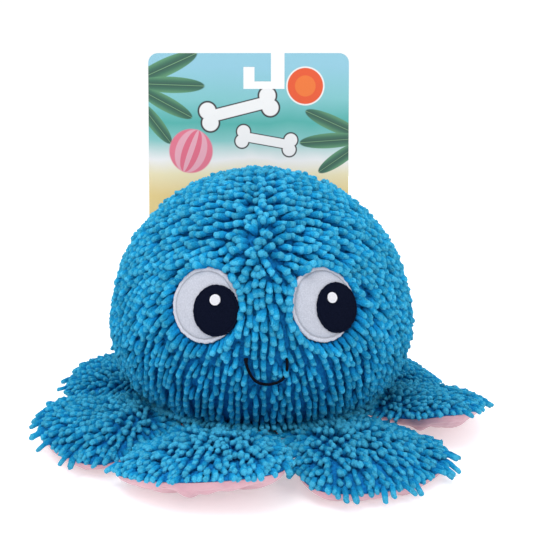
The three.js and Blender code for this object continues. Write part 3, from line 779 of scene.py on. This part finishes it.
def lobe_outline(steps):
    """The lobe's edge as distance along and aside, from the middle of its root all the way round."""
    along = LOBE_LENGTH * np.sin(np.pi / 2 * np.arange(steps + 1) / steps)
    swell = np.sin(np.pi / 2 * np.minimum(along, LOBE_WIDEST) / LOBE_WIDEST) ** 1.6
    past = np.clip((along - LOBE_WIDEST) / (LOBE_LENGTH - LOBE_WIDEST), 0, 1)
    half = np.where(
        along <= LOBE_WIDEST,
        LOBE_ROOT_HALF + (LOBE_HALF_WIDTH - LOBE_ROOT_HALF) * swell,
        LOBE_HALF_WIDTH * (1 - past**2.2) ** 0.62,
    )
    side = np.stack([along, half], 1)
    across_root = np.linspace(-LOBE_ROOT_HALF, LOBE_ROOT_HALF, 12, endpoint=False)
    root = np.stack([np.zeros(12), across_root], 1)[1:]
    return np.concatenate([side[:-1], side[::-1] * (1, -1), root])


OUTLINE = lobe_outline(80)
FROM_MIDDLE = OUTLINE - (LOBE_MIDDLE, 0)
BEARINGS = np.arctan2(FROM_MIDDLE[:, 1], FROM_MIDDLE[:, 0])
ORDER = np.argsort(BEARINGS)
REACHES = np.linalg.norm(FROM_MIDDLE, axis=1)[ORDER]
BEARINGS = BEARINGS[ORDER]


def reach_at(bearing):
    return np.interp(bearing, BEARINGS, REACHES, period=2 * np.pi)


def lobe_spread(flat):
    """0 at the lobe's middle, 1 at its edge."""
    offset = flat - (LOBE_MIDDLE, 0)
    return np.linalg.norm(offset, axis=-1) / reach_at(np.arctan2(offset[..., 1], offset[..., 0]))


def lobe_point(flat, height, lift=0.0, roundness=0.75):
    """The lobe's surface over a flat point, for a height above (or below) its seam."""
    along = flat[..., 0]
    thinning = np.minimum(1, np.sqrt(np.maximum(along + 1, 0) / ROOT_THINNING))
    fullness = (1 - np.clip(lobe_spread(flat), 0, 1) ** 2) ** roundness * thinning
    level = LOBE_SEAM_Z + LOBE_RISE * (along / LOBE_LENGTH) ** 2 + height * fullness + lift
    return np.concatenate([flat + (LOBE_ROOT_X, 0), level[..., None]], -1)


def lobe_plan(bearing, reach, shares):
    """Flat points over the lobe, from its middle out to its edge."""
    offset = np.stack([np.cos(bearing) * reach * shares, np.sin(bearing) * reach * shares], -1)
    return (LOBE_MIDDLE, 0) + offset


def turned(points, degrees):
    angle = math.radians(degrees)
    x = points[..., 0] * math.cos(angle) - points[..., 1] * math.sin(angle)
    y = points[..., 0] * math.sin(angle) + points[..., 1] * math.cos(angle)
    return np.stack([x, y, points[..., 2]], -1)


def to_lobe_place(points, turn, settling):
    """From the lobe's own place, out along X, to its place round the base, settled as it lies there."""
    sag, roll, drawn = settling
    along = np.maximum(points[..., 0] - LOBE_ROOT_X, 0)
    drop = sag * (along / LOBE_LENGTH) ** 1.4
    drop = drop + roll * points[..., 1] / LOBE_HALF_WIDTH * np.minimum(along / LOBE_WIDEST, 1)
    drawn_in = points[..., 0] - (1 - drawn) * along
    return turned(np.stack([drawn_in, points[..., 1], points[..., 2] - drop], -1), turn - 90)


def settle_lobe(points, turn, settling):
    """The same for points that are already in their place, but no lower than the cloth below them."""
    settled = to_lobe_place(turned(points, 90 - turn), turn, settling)
    settled[:, 2] = np.maximum(settled[:, 2], 1.5)
    return settled


def lobe_outward(flat, height):
    step = 0.5
    right = lobe_point(flat + (step, 0), height) - lobe_point(flat - (step, 0), height)
    aside = lobe_point(flat + (0, step), height) - lobe_point(flat - (0, step), height)
    return unit(np.cross(right, aside))


def lobe_comb(point):
    """Direction in which the lobe's noodles lie: out from the root, and to the sides near the edge."""
    flat = point[:2] - (LOBE_ROOT_X, 0)
    spread = min(1.0, float(lobe_spread(flat)))
    fan = unit(np.array([flat[0] + 30, 1.1 * flat[1]]))
    edge = unit(flat - (LOBE_MIDDLE - 22, 0))
    blend = float(smooth(spread, 0.45, 0.95))
    wish = unit(fan * (1 - blend) + edge * blend)
    return np.array([wish[0], wish[1], 0.0])


def lobe_cover(index, turn, settling, seed, loose_share):
    """The lobe's top: its noodles, combed outwards, on their backing sheet."""
    rng = np.random.default_rng(seed)
    root_clear, last_share, edge_row_clear, spare_count = 1.5, 0.965, 2.7, 3000
    spare_along = rng.uniform(root_clear, LOBE_LENGTH, spare_count)
    spare = np.stack([spare_along, rng.uniform(-50, 50, spare_count)], 1)

    def inside(point):
        flat = point[:2] - (LOBE_ROOT_X, 0)
        return flat[0] > root_clear and lobe_spread(flat) < last_share

    def project(point):
        return lobe_point(point[:2] - (LOBE_ROOT_X, 0), LOBE_TOP)

    def spacing(point):
        edge = float(smooth(lobe_spread(point[:2] - (LOBE_ROOT_X, 0)), 0.5, 0.9))
        return 4.6 - 0.2 * edge, 5.1 - 0.3 * edge

    start = lobe_point(np.array([LOBE_MIDDLE, 0.5]), LOBE_TOP)
    spots = lay_rows([start], lobe_comb, spacing, inside, project, lobe_point(spare, LOBE_TOP))
    flat = spots[:, :2] - (LOBE_ROOT_X, 0) + rng.normal(0, 0.4, (len(spots), 2))
    # A last row stands right behind the seam, so that its noodles fringe the edge
    fringe = np.linspace(-np.pi, np.pi, 300, endpoint=False)
    edge = lobe_plan(fringe, reach_at(fringe) - 2.2, 1)
    gone = np.concatenate([[0], np.cumsum(np.linalg.norm(np.diff(edge, axis=0), axis=1))])
    pick = np.searchsorted(gone, np.arange(2, gone[-1], 4.3))
    edge = edge[np.minimum(pick, len(edge) - 1)]
    edge = edge[edge[:, 0] > root_clear]
    edge = edge + rng.normal(0, 0.5, edge.shape)
    far = np.min(np.linalg.norm(flat[:, None] - edge[None], axis=2), 1) > edge_row_clear
    flat = np.concatenate([flat[far], edge])
    count = len(flat)
    at_edge = np.arange(count) >= count - len(edge)
    spread = lobe_spread(flat)
    ground = lobe_point(flat, LOBE_TOP - LOBE_PILE, 0.6)
    outward = lobe_outward(flat, LOBE_TOP)
    wish = np.array([lobe_comb(point) for point in lobe_point(flat, 0)])
    sway = np.radians(rng.normal(0, 13, count))
    across = np.cross(outward, wish)
    wish = wish * np.cos(sway)[:, None] + across * np.sin(sway)[:, None]
    # At the edge the noodles hang out over the seam
    droop = smooth(spread, 0.72, 0.98)
    outward = unit(outward + droop[:, None] * (0, 0, 0.45))
    wish = wish - droop[:, None] * (0, 0, 0.4)
    lean = unit(wish - outward * np.sum(wish * outward, 1)[:, None])
    near_root = 1 - smooth(flat[:, 0], 2, 14)
    tilt = 62 + 9 * droop - 26 * near_root + rng.normal(0, 6, count)
    tilt[rng.random(count) < 0.04] -= 20
    length = LOBE_NOODLE_LENGTH * rng.uniform(0.9, 1.1, count) * (1 + 0.2 * near_root)
    length *= 1 - 0.25 * droop
    length[at_edge] = rng.uniform(4.2, 6.2, len(edge))
    # Beside the root they are long enough to close the gap to the next lobe
    beside = (flat[:, 0] < 34) & (spread > 0.8) & (np.abs(flat[:, 1]) > 18)
    length[beside] = rng.uniform(8.5, 11, np.count_nonzero(beside))
    tilt[beside] = rng.uniform(62, 80, np.count_nonzero(beside))
    loose = at_edge & (rng.random(count) < loose_share)
    length[loose] = rng.uniform(10, 12.5, np.count_nonzero(loose))
    radius = 0.80 * NOODLE_RADIUS * rng.uniform(0.88, 1.14, count)
    *noodles, stations = noodle_points(
        ground, outward, lean, np.radians(tilt), length, radius, np.zeros(count), rng
    )
    rings, roots, tips = (to_lobe_place(part, turn, settling) for part in noodles)
    bearing = np.linspace(-np.pi, np.pi, 129)
    shares = np.sin(np.linspace(0, np.pi / 2, 40))[:, None]
    plan = lobe_plan(bearing, reach_at(bearing), shares)
    outer = lobe_point(plan, LOBE_TOP - LOBE_PILE, 0.9)
    tufts = rng.uniform(-0.2, 0.9, outer.shape[:2]) * (shares < 0.99)
    tufts[:, -1] = tufts[:, 0]
    outer[..., 2] += tufts
    inner = lobe_point(plan, LOBE_TOP - LOBE_PILE, 0.15)
    outer, inner = (to_lobe_place(sheet, turn, settling) for sheet in (outer, inner))
    # The lobes' noodles are painted darker than the head's, painted shade, and those of the last lobe,
    # at the front left, lighter, painted light
    shades = rng.random(count) * 0.62 + (0.3 if index == 8 else 0)
    pile_piece(
        f"lobe_{index}_pile",
        noodle_mesh(rings, roots, tips, stations),
        shades,
        sheet_between(outer, inner),
        f"lobe_{index}",
        [f"lobe_{index}_cover"],
    )


def pink_material():
    """Smooth pink polyester cloth: a fine knit with a soft sheen, mottled a little lighter and darker
    in broad clouds.
    """
    material, tree, shader = begin_material("pink_cloth", 0.72)
    clouds = noise_on(tree, 60, 3.0)
    colour = ramp_on(tree, clouds, (0.3, 0.50, 0.265, 0.325), (0.7, 0.60, 0.345, 0.395))
    feed(shader, {"Base Color": colour, "Sheen Weight": 0.35, "Sheen Roughness": 0.4})
    bump_on(shader, noise_on(tree, 1900, 2.0), 0.35, 0.0003)
    return material


PINK = pink_material()


def lobe_lining(index, turn, settling, seed):
    """The lobe's underside: one smooth cloth, gathered at its edge and creased a little inside it."""
    rng = np.random.default_rng(seed)
    bearing = np.linspace(-np.pi, np.pi, 161)
    shares = np.sin(np.linspace(0, np.pi / 2, 34))[:, None]
    waves = sum(
        rng.uniform(0.5, 1) * np.sin(number * bearing + rng.uniform(0, 2 * np.pi))
        for number in (4, 7, 10, 15)
    )
    gathers = np.sin(38 * bearing + rng.uniform(0, 6)) + 0.6 * np.sin(61 * bearing + rng.uniform(0, 6))
    folds = waves * 0.95 * np.sin(np.pi * shares**1.5) + gathers * 0.3 * shares**6 * (1 - shares**14)
    crease = 0.5 + 0.5 * np.sin(5 * bearing + waves)
    folds = folds + 1.1 * crease * np.exp(-(((shares - 0.89) / 0.035) ** 2))

    def skin(height, turn_in, lowest):
        plan = lobe_plan(bearing, reach_at(bearing) - turn_in, shares)
        points = lobe_point(plan, height, -0.15, 0.5)
        points[..., 2] += np.minimum(1, np.maximum(plan[..., 0], 0) / ROOT_THINNING) * folds
        points = to_lobe_place(points, turn, settling)
        points[..., 2] = np.maximum(points[..., 2], lowest)
        return points

    points, faces = sheet_between(skin(-LOBE_BELLY, 0, 0.15), skin(1.2 - LOBE_BELLY, 1.4, 1.0))
    piece = new_piece(f"lobe_{index}_cloth", points, faces[:, ::-1], PINK)
    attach(piece, f"lobe_{index}")
    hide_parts(f"lobe_{index}_lining")


for index, settling in enumerate(LOBE_SETTLING, 1):
    lobe_turn = LOBE_RING_TURN + 45 * (index - 0.5)
    lobe_cover(index, lobe_turn, settling, 100 + index, 0.10 if index == 8 else 0.36)
    lobe_lining(index, lobe_turn, settling, 200 + index)
    stuff_like(
        f"lobe_{index}_filling",
        f"lobe_{index}_stuffing",
        f"lobe_{index}",
        0.3,
        lambda points: settle_lobe(points, lobe_turn, settling),
    )

# ---- Base panel ------------------------------------------
# A dish of the same pink cloth under the head, flat where the toy rests, with eight straight seats
# that the lobes are sewn to. Its rim is turned in under the pile. The stuffing goes in through it
# last, and that seam is closed by hand.
SEAT_APOTHEM = 81.7
BASE_RIM_Z = 15.0
BASE_KNEE_Z = 11.5
BASE_FLAT_RADIUS = 58.0
BASE_SHEET = 1.6
BASE_TURNED_IN = 71.0


def base_ring(apothem, z, squareness):
    """A ring round the dish: a circle, or with squareness 1 an octagon whose sides are the seats."""
    turns = np.arange(129) * 360 / 128
    from_seat = turns - 45 * np.round(turns / 45)
    squared = apothem / np.cos(np.radians(from_seat))
    radius = apothem + (squared - apothem) * squareness
    angle = np.radians(turns + LOBE_RING_TURN + 22.5)
    return np.stack([radius * np.sin(angle), -radius * np.cos(angle), np.full(len(turns), z)], -1)


def base_wall(thickness, *rim):
    """Rings of one face of the dish, from its middle out and up to its rim."""
    flat_shares = 0.001, 0.25, 0.5, 0.75, 0.9
    rings = [base_ring(BASE_FLAT_RADIUS * share, thickness, 0) for share in flat_shares]
    for bend in np.linspace(0, np.pi / 2, 9):
        apothem = BASE_FLAT_RADIUS + (SEAT_APOTHEM - thickness - BASE_FLAT_RADIUS) * math.sin(bend)
        z = thickness + (BASE_KNEE_Z - thickness) * (1 - math.cos(bend))
        rings.append(base_ring(apothem, z, math.sin(bend)))
    return np.stack(rings + [base_ring(apothem, z, 1) for apothem, z in rim])


def base_panel():
    outer_rim = (SEAT_APOTHEM, 13.4), (SEAT_APOTHEM - 0.4, BASE_RIM_Z), (BASE_TURNED_IN, BASE_RIM_Z)
    inner_rim = (SEAT_APOTHEM - BASE_SHEET, 12.8), (SEAT_APOTHEM - 2, 13.3), (BASE_TURNED_IN, 13.4)
    outer, inner = base_wall(0, *outer_rim), base_wall(BASE_SHEET, *inner_rim)
    bearing = np.arctan2(outer[..., 1], outer[..., 0])
    crease = np.sin(bearing * 29) * 0.35 + np.sin(bearing * 47) * 0.2
    fade = np.zeros(len(outer))
    fade[6:13] = [0.3, 0.6, 1, 1, 1, 0.8, 0.4]
    outer[..., 2] += np.abs(crease) * fade[:, None]
    points, faces = sheet_between(outer, inner)
    piece = new_piece("base_cloth", points, faces[:, ::-1], PINK)
    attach(piece, "toy_head")
    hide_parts("base_panel")


base_panel()

# ---- Eyes ------------------------------------------------
# Each eye is an oval of white felt stitched down through the pile close to its edge, a black felt
# pupil on it, towards the same side on both, and a small white embroidered glint.


def felt_material(name, low, high, scale, sheen):
    """Pressed felt: short fibres in all directions, heathered, soft nap, paler cut edge, painted shade
    in its groove.
    """
    material, tree, shader = begin_material(name, 0.95)
    fibres = noise_on(tree, scale, 5.0, 0.75)
    heather = ramp_on(tree, fibres, (0.35, *low), (0.65, *high))
    colour = mix(tree, 1.0, heather, read_tint(tree), "MULTIPLY")
    looks = {"Base Color": colour, "Specular IOR Level": 0.02}
    feed(shader, {**looks, "Sheen Weight": sheen, "Sheen Roughness": 0.5})
    bump_on(shader, fibres, 0.6, 0.0005)
    return material


WHITE_FELT = felt_material("white_felt", (0.36, 0.375, 0.44), (0.52, 0.535, 0.60), 1500, 0.1)
BLACK_FELT = felt_material("black_felt", (0.002, 0.003, 0.010), (0.005, 0.007, 0.018), 1500, 0.0)
GLINT_THREAD = felt_material("glint_thread", (0.54, 0.54, 0.59), (0.68, 0.68, 0.71), 2200, 0.1)


def on_head_over(frame_of_eye, aside, up, depth):
    """The head's surface some millimetres under the pile, straight in from a point of an eye patch."""
    middle, level, rise, out = frame_of_eye
    start = middle + aside[..., None] * level + up[..., None] * rise
    radius, height = HEAD_RADIUS - depth, CROWN_HEIGHT - depth
    scale = np.stack([1 / radius, 1 / radius, 1 / height], -1)
    origin = (start - (0, 0, HEAD_WIDEST_Z)) * scale
    ray = -out * scale
    a = np.sum(ray * ray, -1)
    b = np.sum(origin * ray, -1)
    c = np.sum(origin * origin, -1) - 1
    way = (-b - np.sqrt(np.maximum(b * b - a * c, 0))) / a
    return start - way[..., None] * out


def felt_patch(name, node, material, place, half, depths, ragged, stitch, seed):
    """An oval felt patch with a stitched groove near its cut edge. place is its side and its middle on
    the eye, depths are those of its face and back under the pile's surface, and stitch is how far in
    from the edge it runs, how deep its groove is, how much painted shade darkens it and how pale the
    edge outside it is."""
    rng = np.random.default_rng(seed)
    (side, middle), (top, bottom), (stitch_in, groove, darker, paler) = place, depths, stitch
    angle = np.linspace(0, 2 * np.pi, 145)
    waves = zip((7, 13, 23, 31, 47, 67), rng.uniform(0, 2 * np.pi, 6), (2.6, 2.4, 2.2, 2.2, 2.4, 2.8))
    fray = ragged * sum(np.sin(number * angle + phase) / part for number, phase, part in waves) / 2
    fray[-1] = fray[0]
    edge_at = 1.0 - stitch_in / min(half)
    shares = np.concatenate(
        [
            np.linspace(0.001, edge_at - 0.055, 14),
            np.linspace(edge_at - 0.035, edge_at + 0.035, 5),
            np.linspace(edge_at + 0.06, 0.985, 4),
            [1.0],
        ]
    )
    face = (top + (bottom - top) * 0.32) * (shares >= 0.999) + top * (shares < 0.999)
    face = face + groove * np.exp(-(((shares - edge_at) / 0.026) ** 2))

    def ring(share, depth):
        grow = 1 + fray / np.hypot(half[0] * np.cos(angle), half[1] * np.sin(angle)) * share**6
        aside = middle[0] + half[0] * share * np.cos(angle) * grow
        up = middle[1] + half[1] * share * np.sin(angle) * grow
        return on_head_over(EYE_FRAMES[side], aside, up, depth)

    outer = np.stack([ring(share, depth) for share, depth in zip(shares, face)])
    inner = np.stack([ring(share, bottom) for share in shares])
    points, faces = sheet_between(outer, inner)
    piece = new_piece(name, points, faces[:, ::-1], material)
    # Painted shade darkens the felt along the stitched groove, and its back a little; outside the
    # stitch the edge is made paler
    shade = np.ones((len(shares), len(angle)))
    shade *= (1 - darker * np.exp(-(((shares - edge_at) / 0.016) ** 2)))[:, None]
    shade *= (1 + paler * (shares > edge_at + 0.03))[:, None]
    shade = np.concatenate([shade.ravel(), shade.ravel() * 0.9])
    give_tint(piece, np.repeat(shade[:, None], 3, 1))
    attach(piece, "toy_head")
    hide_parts(node)


for side, seed, glint_aside in (("left", 31, 7.8), ("right", 37, 4.5)):
    felt_patch(
        f"eye_felt_{side}", f"eye_white_{side}", WHITE_FELT,
        (side, (0, 0)), EYE_HALF, (FELT_TOP, FELT_BOTTOM), 0.5, (2.4, 0.55, 0.34, 0.12), seed,
    )
    felt_patch(
        f"pupil_felt_{side}", f"eye_pupil_{side}", BLACK_FELT,
        (side, PUPIL_MIDDLE), PUPIL_HALF, (0.5, 1.4), 0.3, (1.3, 0.2, 0.2, 0.1), seed + 1,
    )
    felt_patch(
        f"glint_patch_{side}", f"eye_glint_{side}", GLINT_THREAD,
        (side, (glint_aside, 3.3)), (3.2, 3.2), (-0.35, 0.3), 0.12, (1.1, 0.14, 0.16, 0.06), seed + 2,
    )

# ---- Mouth -----------------------------------------------
# A smile of black embroidery thread, stitched through the pile and drawn down between the noodles.
# Near its right end one noodle lies over it.
THREAD_RADIUS = 0.85


BLACK_THREAD = mottled(
    "black_thread", 0.8, (1600, 3.0), (0.3, 0.001, 0.001, 0.003), (0.7, 0.004, 0.005, 0.010),
    (0.6, 0.0003), {"Specular IOR Level": 0.06},
)


def mouth():
    count, sides = 150, 12
    knots = np.concatenate([[0], np.cumsum(np.linalg.norm(np.diff(MOUTH_LINE, axis=0), axis=1))])
    way = np.linspace(0, knots[-1], count)
    smile = np.stack([np.interp(way, knots, MOUTH_LINE[:, part]) for part in (0, 1)])
    for _ in range(60):
        smile[:, 1:-1] = (smile[:, :-2] + 2 * smile[:, 1:-1] + smile[:, 2:]) / 4
    x, up = smile[0], smile[1] - HEAD_WIDEST_Z
    climb = np.arcsin(up / half_height(up))
    turn = np.degrees(np.arcsin(x / (HEAD_RADIUS * np.cos(climb))))
    share = way / knots[-1]
    # The thread dives in at both ends, and where a noodle lies over it
    under = 1.6 * np.exp(-(((share - 0.80) / 0.05) ** 2))
    under = under + 1.4 * smooth(share, 0.97, 1.0) + 1.4 * (1 - smooth(share, 0, 0.03))
    line = head_point(turn, climb, 0.2)
    line = line - head_outward(line) * under[:, None]
    ahead = unit(np.gradient(line, axis=0))
    across = unit(np.cross(ahead, head_outward(line)))
    out = np.cross(across, ahead)
    angle = np.linspace(0, 2 * np.pi, sides, endpoint=False)
    girth = THREAD_RADIUS * (1 + 0.09 * np.cos(3 * (angle - way[:, None] * 2.2)))
    from_end = np.minimum(np.arange(count), np.arange(count)[::-1])
    taper = np.minimum(1, from_end / 2 + 0.45) * (1 + 0.5 * np.exp(-((share / 0.05) ** 2)))
    girth = girth * taper[:, None]
    ring = np.cos(angle)[:, None] * across[:, None] + np.sin(angle)[:, None] * out[:, None]
    points = (line[:, None] + girth[..., None] * ring).reshape(-1, 3)
    around = np.arange(sides)
    faces = [*tube_quads(count, sides)[:, (0, 3, 2, 1)], around, (count - 1) * sides + around[::-1]]
    piece = new_piece("mouth_stitching", points, faces, BLACK_THREAD)
    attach(piece, "toy_head")
    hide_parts("mouth_thread")

mouth()

# ---- Header card -----------------------------------------
# A printed card of coated board, 0.8 mm thick, behind the head. It has a hook slot cut into its top
# and two plastic tag pins through its lower part. The print is a plain seaside pattern.
def card_material():
    material, tree, shader = begin_material("printed_card", 0.38)
    coordinates = add_node(tree, "TexCoord", {})
    place = coordinates["Object"]

    def on_print(x, z, half_x, half_z, turn=0.0):
        """Place within an oval or bar of the print. Sizes in millimetres, turn in degrees."""
        inputs = {"Vector": place, "Location": (x * MM, 0, z * MM)}
        inputs["Rotation"] = (0, math.radians(turn), 0)
        inputs["Scale"] = (half_x * MM, 100, half_z * MM)
        return add_node(tree, "Mapping", inputs, vector_type="TEXTURE")["Vector"]

    def length(local):
        """Distance from the middle of an oval, 1 at its edge."""
        return add_node(tree, "VectorMath", {0: local}, operation="LENGTH")["Value"]

    def bar(local):
        """The same for a straight bar, 1 at its sides and ends."""
        level = add_node(tree, "VectorMath", {0: local}, operation="ABSOLUTE")["Vector"]
        parts = add_node(tree, "SeparateXYZ", {"Vector": level})
        return maths(tree, "MAXIMUM", parts["X"], parts["Z"])

    def within(distance, limit=1.0, soft=0.03):
        return map_range(tree, distance, limit + soft, limit - soft)

    # Sky, sea, surf and sand, one above the other
    height = add_node(tree, "SeparateXYZ", {"Vector": place})["Z"]
    rippled = maths(tree, "MULTIPLY_ADD", noise_on(tree, 26, 2.0), 0.010, height)
    picture = ramp_on(
        tree,
        map_range(tree, rippled, 0.150, 0.274),
        (0.05, 0.66, 0.50, 0.20),
        (0.20, 0.67, 0.60, 0.38),
        (0.30, 0.68, 0.68, 0.68),
        (0.44, 0.17, 0.43, 0.42),
        (0.56, 0.05, 0.33, 0.30),
        (0.72, 0.16, 0.43, 0.45),
        (0.95, 0.21, 0.44, 0.54),
    )
    # Long plain leaves that fan in from both sides, each with a pale middle rib
    for leaf in (
        (-84, 262, 30, 7.5, -24),
        (-80, 247, 30, 7.0, 2),
        (-84, 231, 26, 6.5, 28),
        (-93, 214, 22, 6.0, 52),
        (62, 214, 26, 6.5, 24),
        (60, 199, 27, 6.5, -4),
        (68, 184, 22, 6.0, -34),
    ):
        local = on_print(*leaf)
        green = ramp_on(
            tree,
            maths(tree, "ABSOLUTE", add_node(tree, "SeparateXYZ", {"Vector": local})["Z"]),
            (0.0, 0.16, 0.34, 0.16),
            (0.06, 0.010, 0.065, 0.045),
            (0.45, 0.020, 0.110, 0.065),
            (0.9, 0.070, 0.220, 0.110),
        )
        picture = mix(tree, within(length(local)), picture, green)
    # An orange sun with a white rim, and a ball in pink stripes
    rim = length(on_print(38, 246, 15.5, 15.5))
    picture = mix(tree, within(rim, 1.08, 0.02), picture, (0.68, 0.68, 0.66, 1))
    picture = mix(tree, within(rim, 1.0, 0.02), picture, (0.62, 0.062, 0.005, 1))
    picture = mix(tree, within(length(on_print(38, 246, 9, 9))), picture, (0.66, 0.13, 0.010, 1))
    pale_pink = (0.62, 0.30, 0.37, 1)
    stripes = (0.60, 0.13, 0.20, 1), pale_pink, (0.58, 0.10, 0.17, 1), pale_pink
    for half, colour in zip((19, 13.5, 7.5, 2.4), stripes):
        picture = mix(tree, within(length(on_print(-62, 190, half, 19, 20))), picture, colour)
    # Two white bones with black outlines, each a bar with four knobs
    for x, z, half, thick, turn in ((-20, 226, 27, 6.6, -14), (4, 199, 21, 5.2, 10)):
        angle = math.radians(turn)
        along = np.array([math.cos(angle), -math.sin(angle)]) * half
        aside = np.array([math.sin(angle), math.cos(angle)]) * thick * 0.8
        nearest = bar(on_print(x, z, half * 0.86, thick * 0.74, turn))
        for end, edge in ((-1, -1), (-1, 1), (1, -1), (1, 1)):
            knob = on_print(*((x, z) + end * along + edge * aside), thick * 1.08, thick * 1.08)
            nearest = maths(tree, "MINIMUM", nearest, length(knob))
        picture = mix(tree, within(nearest, 1.22, 0.05), picture, (0.012, 0.012, 0.016, 1))
        picture = mix(tree, within(nearest, 1.0, 0.05), picture, (0.68, 0.68, 0.68, 1))
    # Only the front is printed; the edges and the back are plain pale board
    board = ramp_on(tree, noise_on(tree, 700, 4.0), (0.3, 0.52, 0.50, 0.45), (0.7, 0.62, 0.60, 0.55))
    facing = add_node(tree, "SeparateXYZ", {"Vector": coordinates["Normal"]})["Y"]
    printed = mix(tree, map_range(tree, facing, -0.4, -0.6), board, picture)
    feed(shader, {"Base Color": printed, "Coat Weight": 0.25, "Coat Roughness": 0.25})
    bump_on(shader, noise_on(tree, 1200, 2.0), 0.08, 0.0001)
    return material


dress("header_card", card_material())

# ---- Tag pins --------------------------------------------
# Two nylon tag pins, shot through the card and the pile: a flat button behind the card, a thin
# shaft and a cross bar that holds behind the backing.
nylon = plastic("nylon_pin", (0.86, 0.86, 0.84), 0.35, 0.03, {})
dress("tag_pin_left", nylon)
dress("tag_pin_right", nylon)
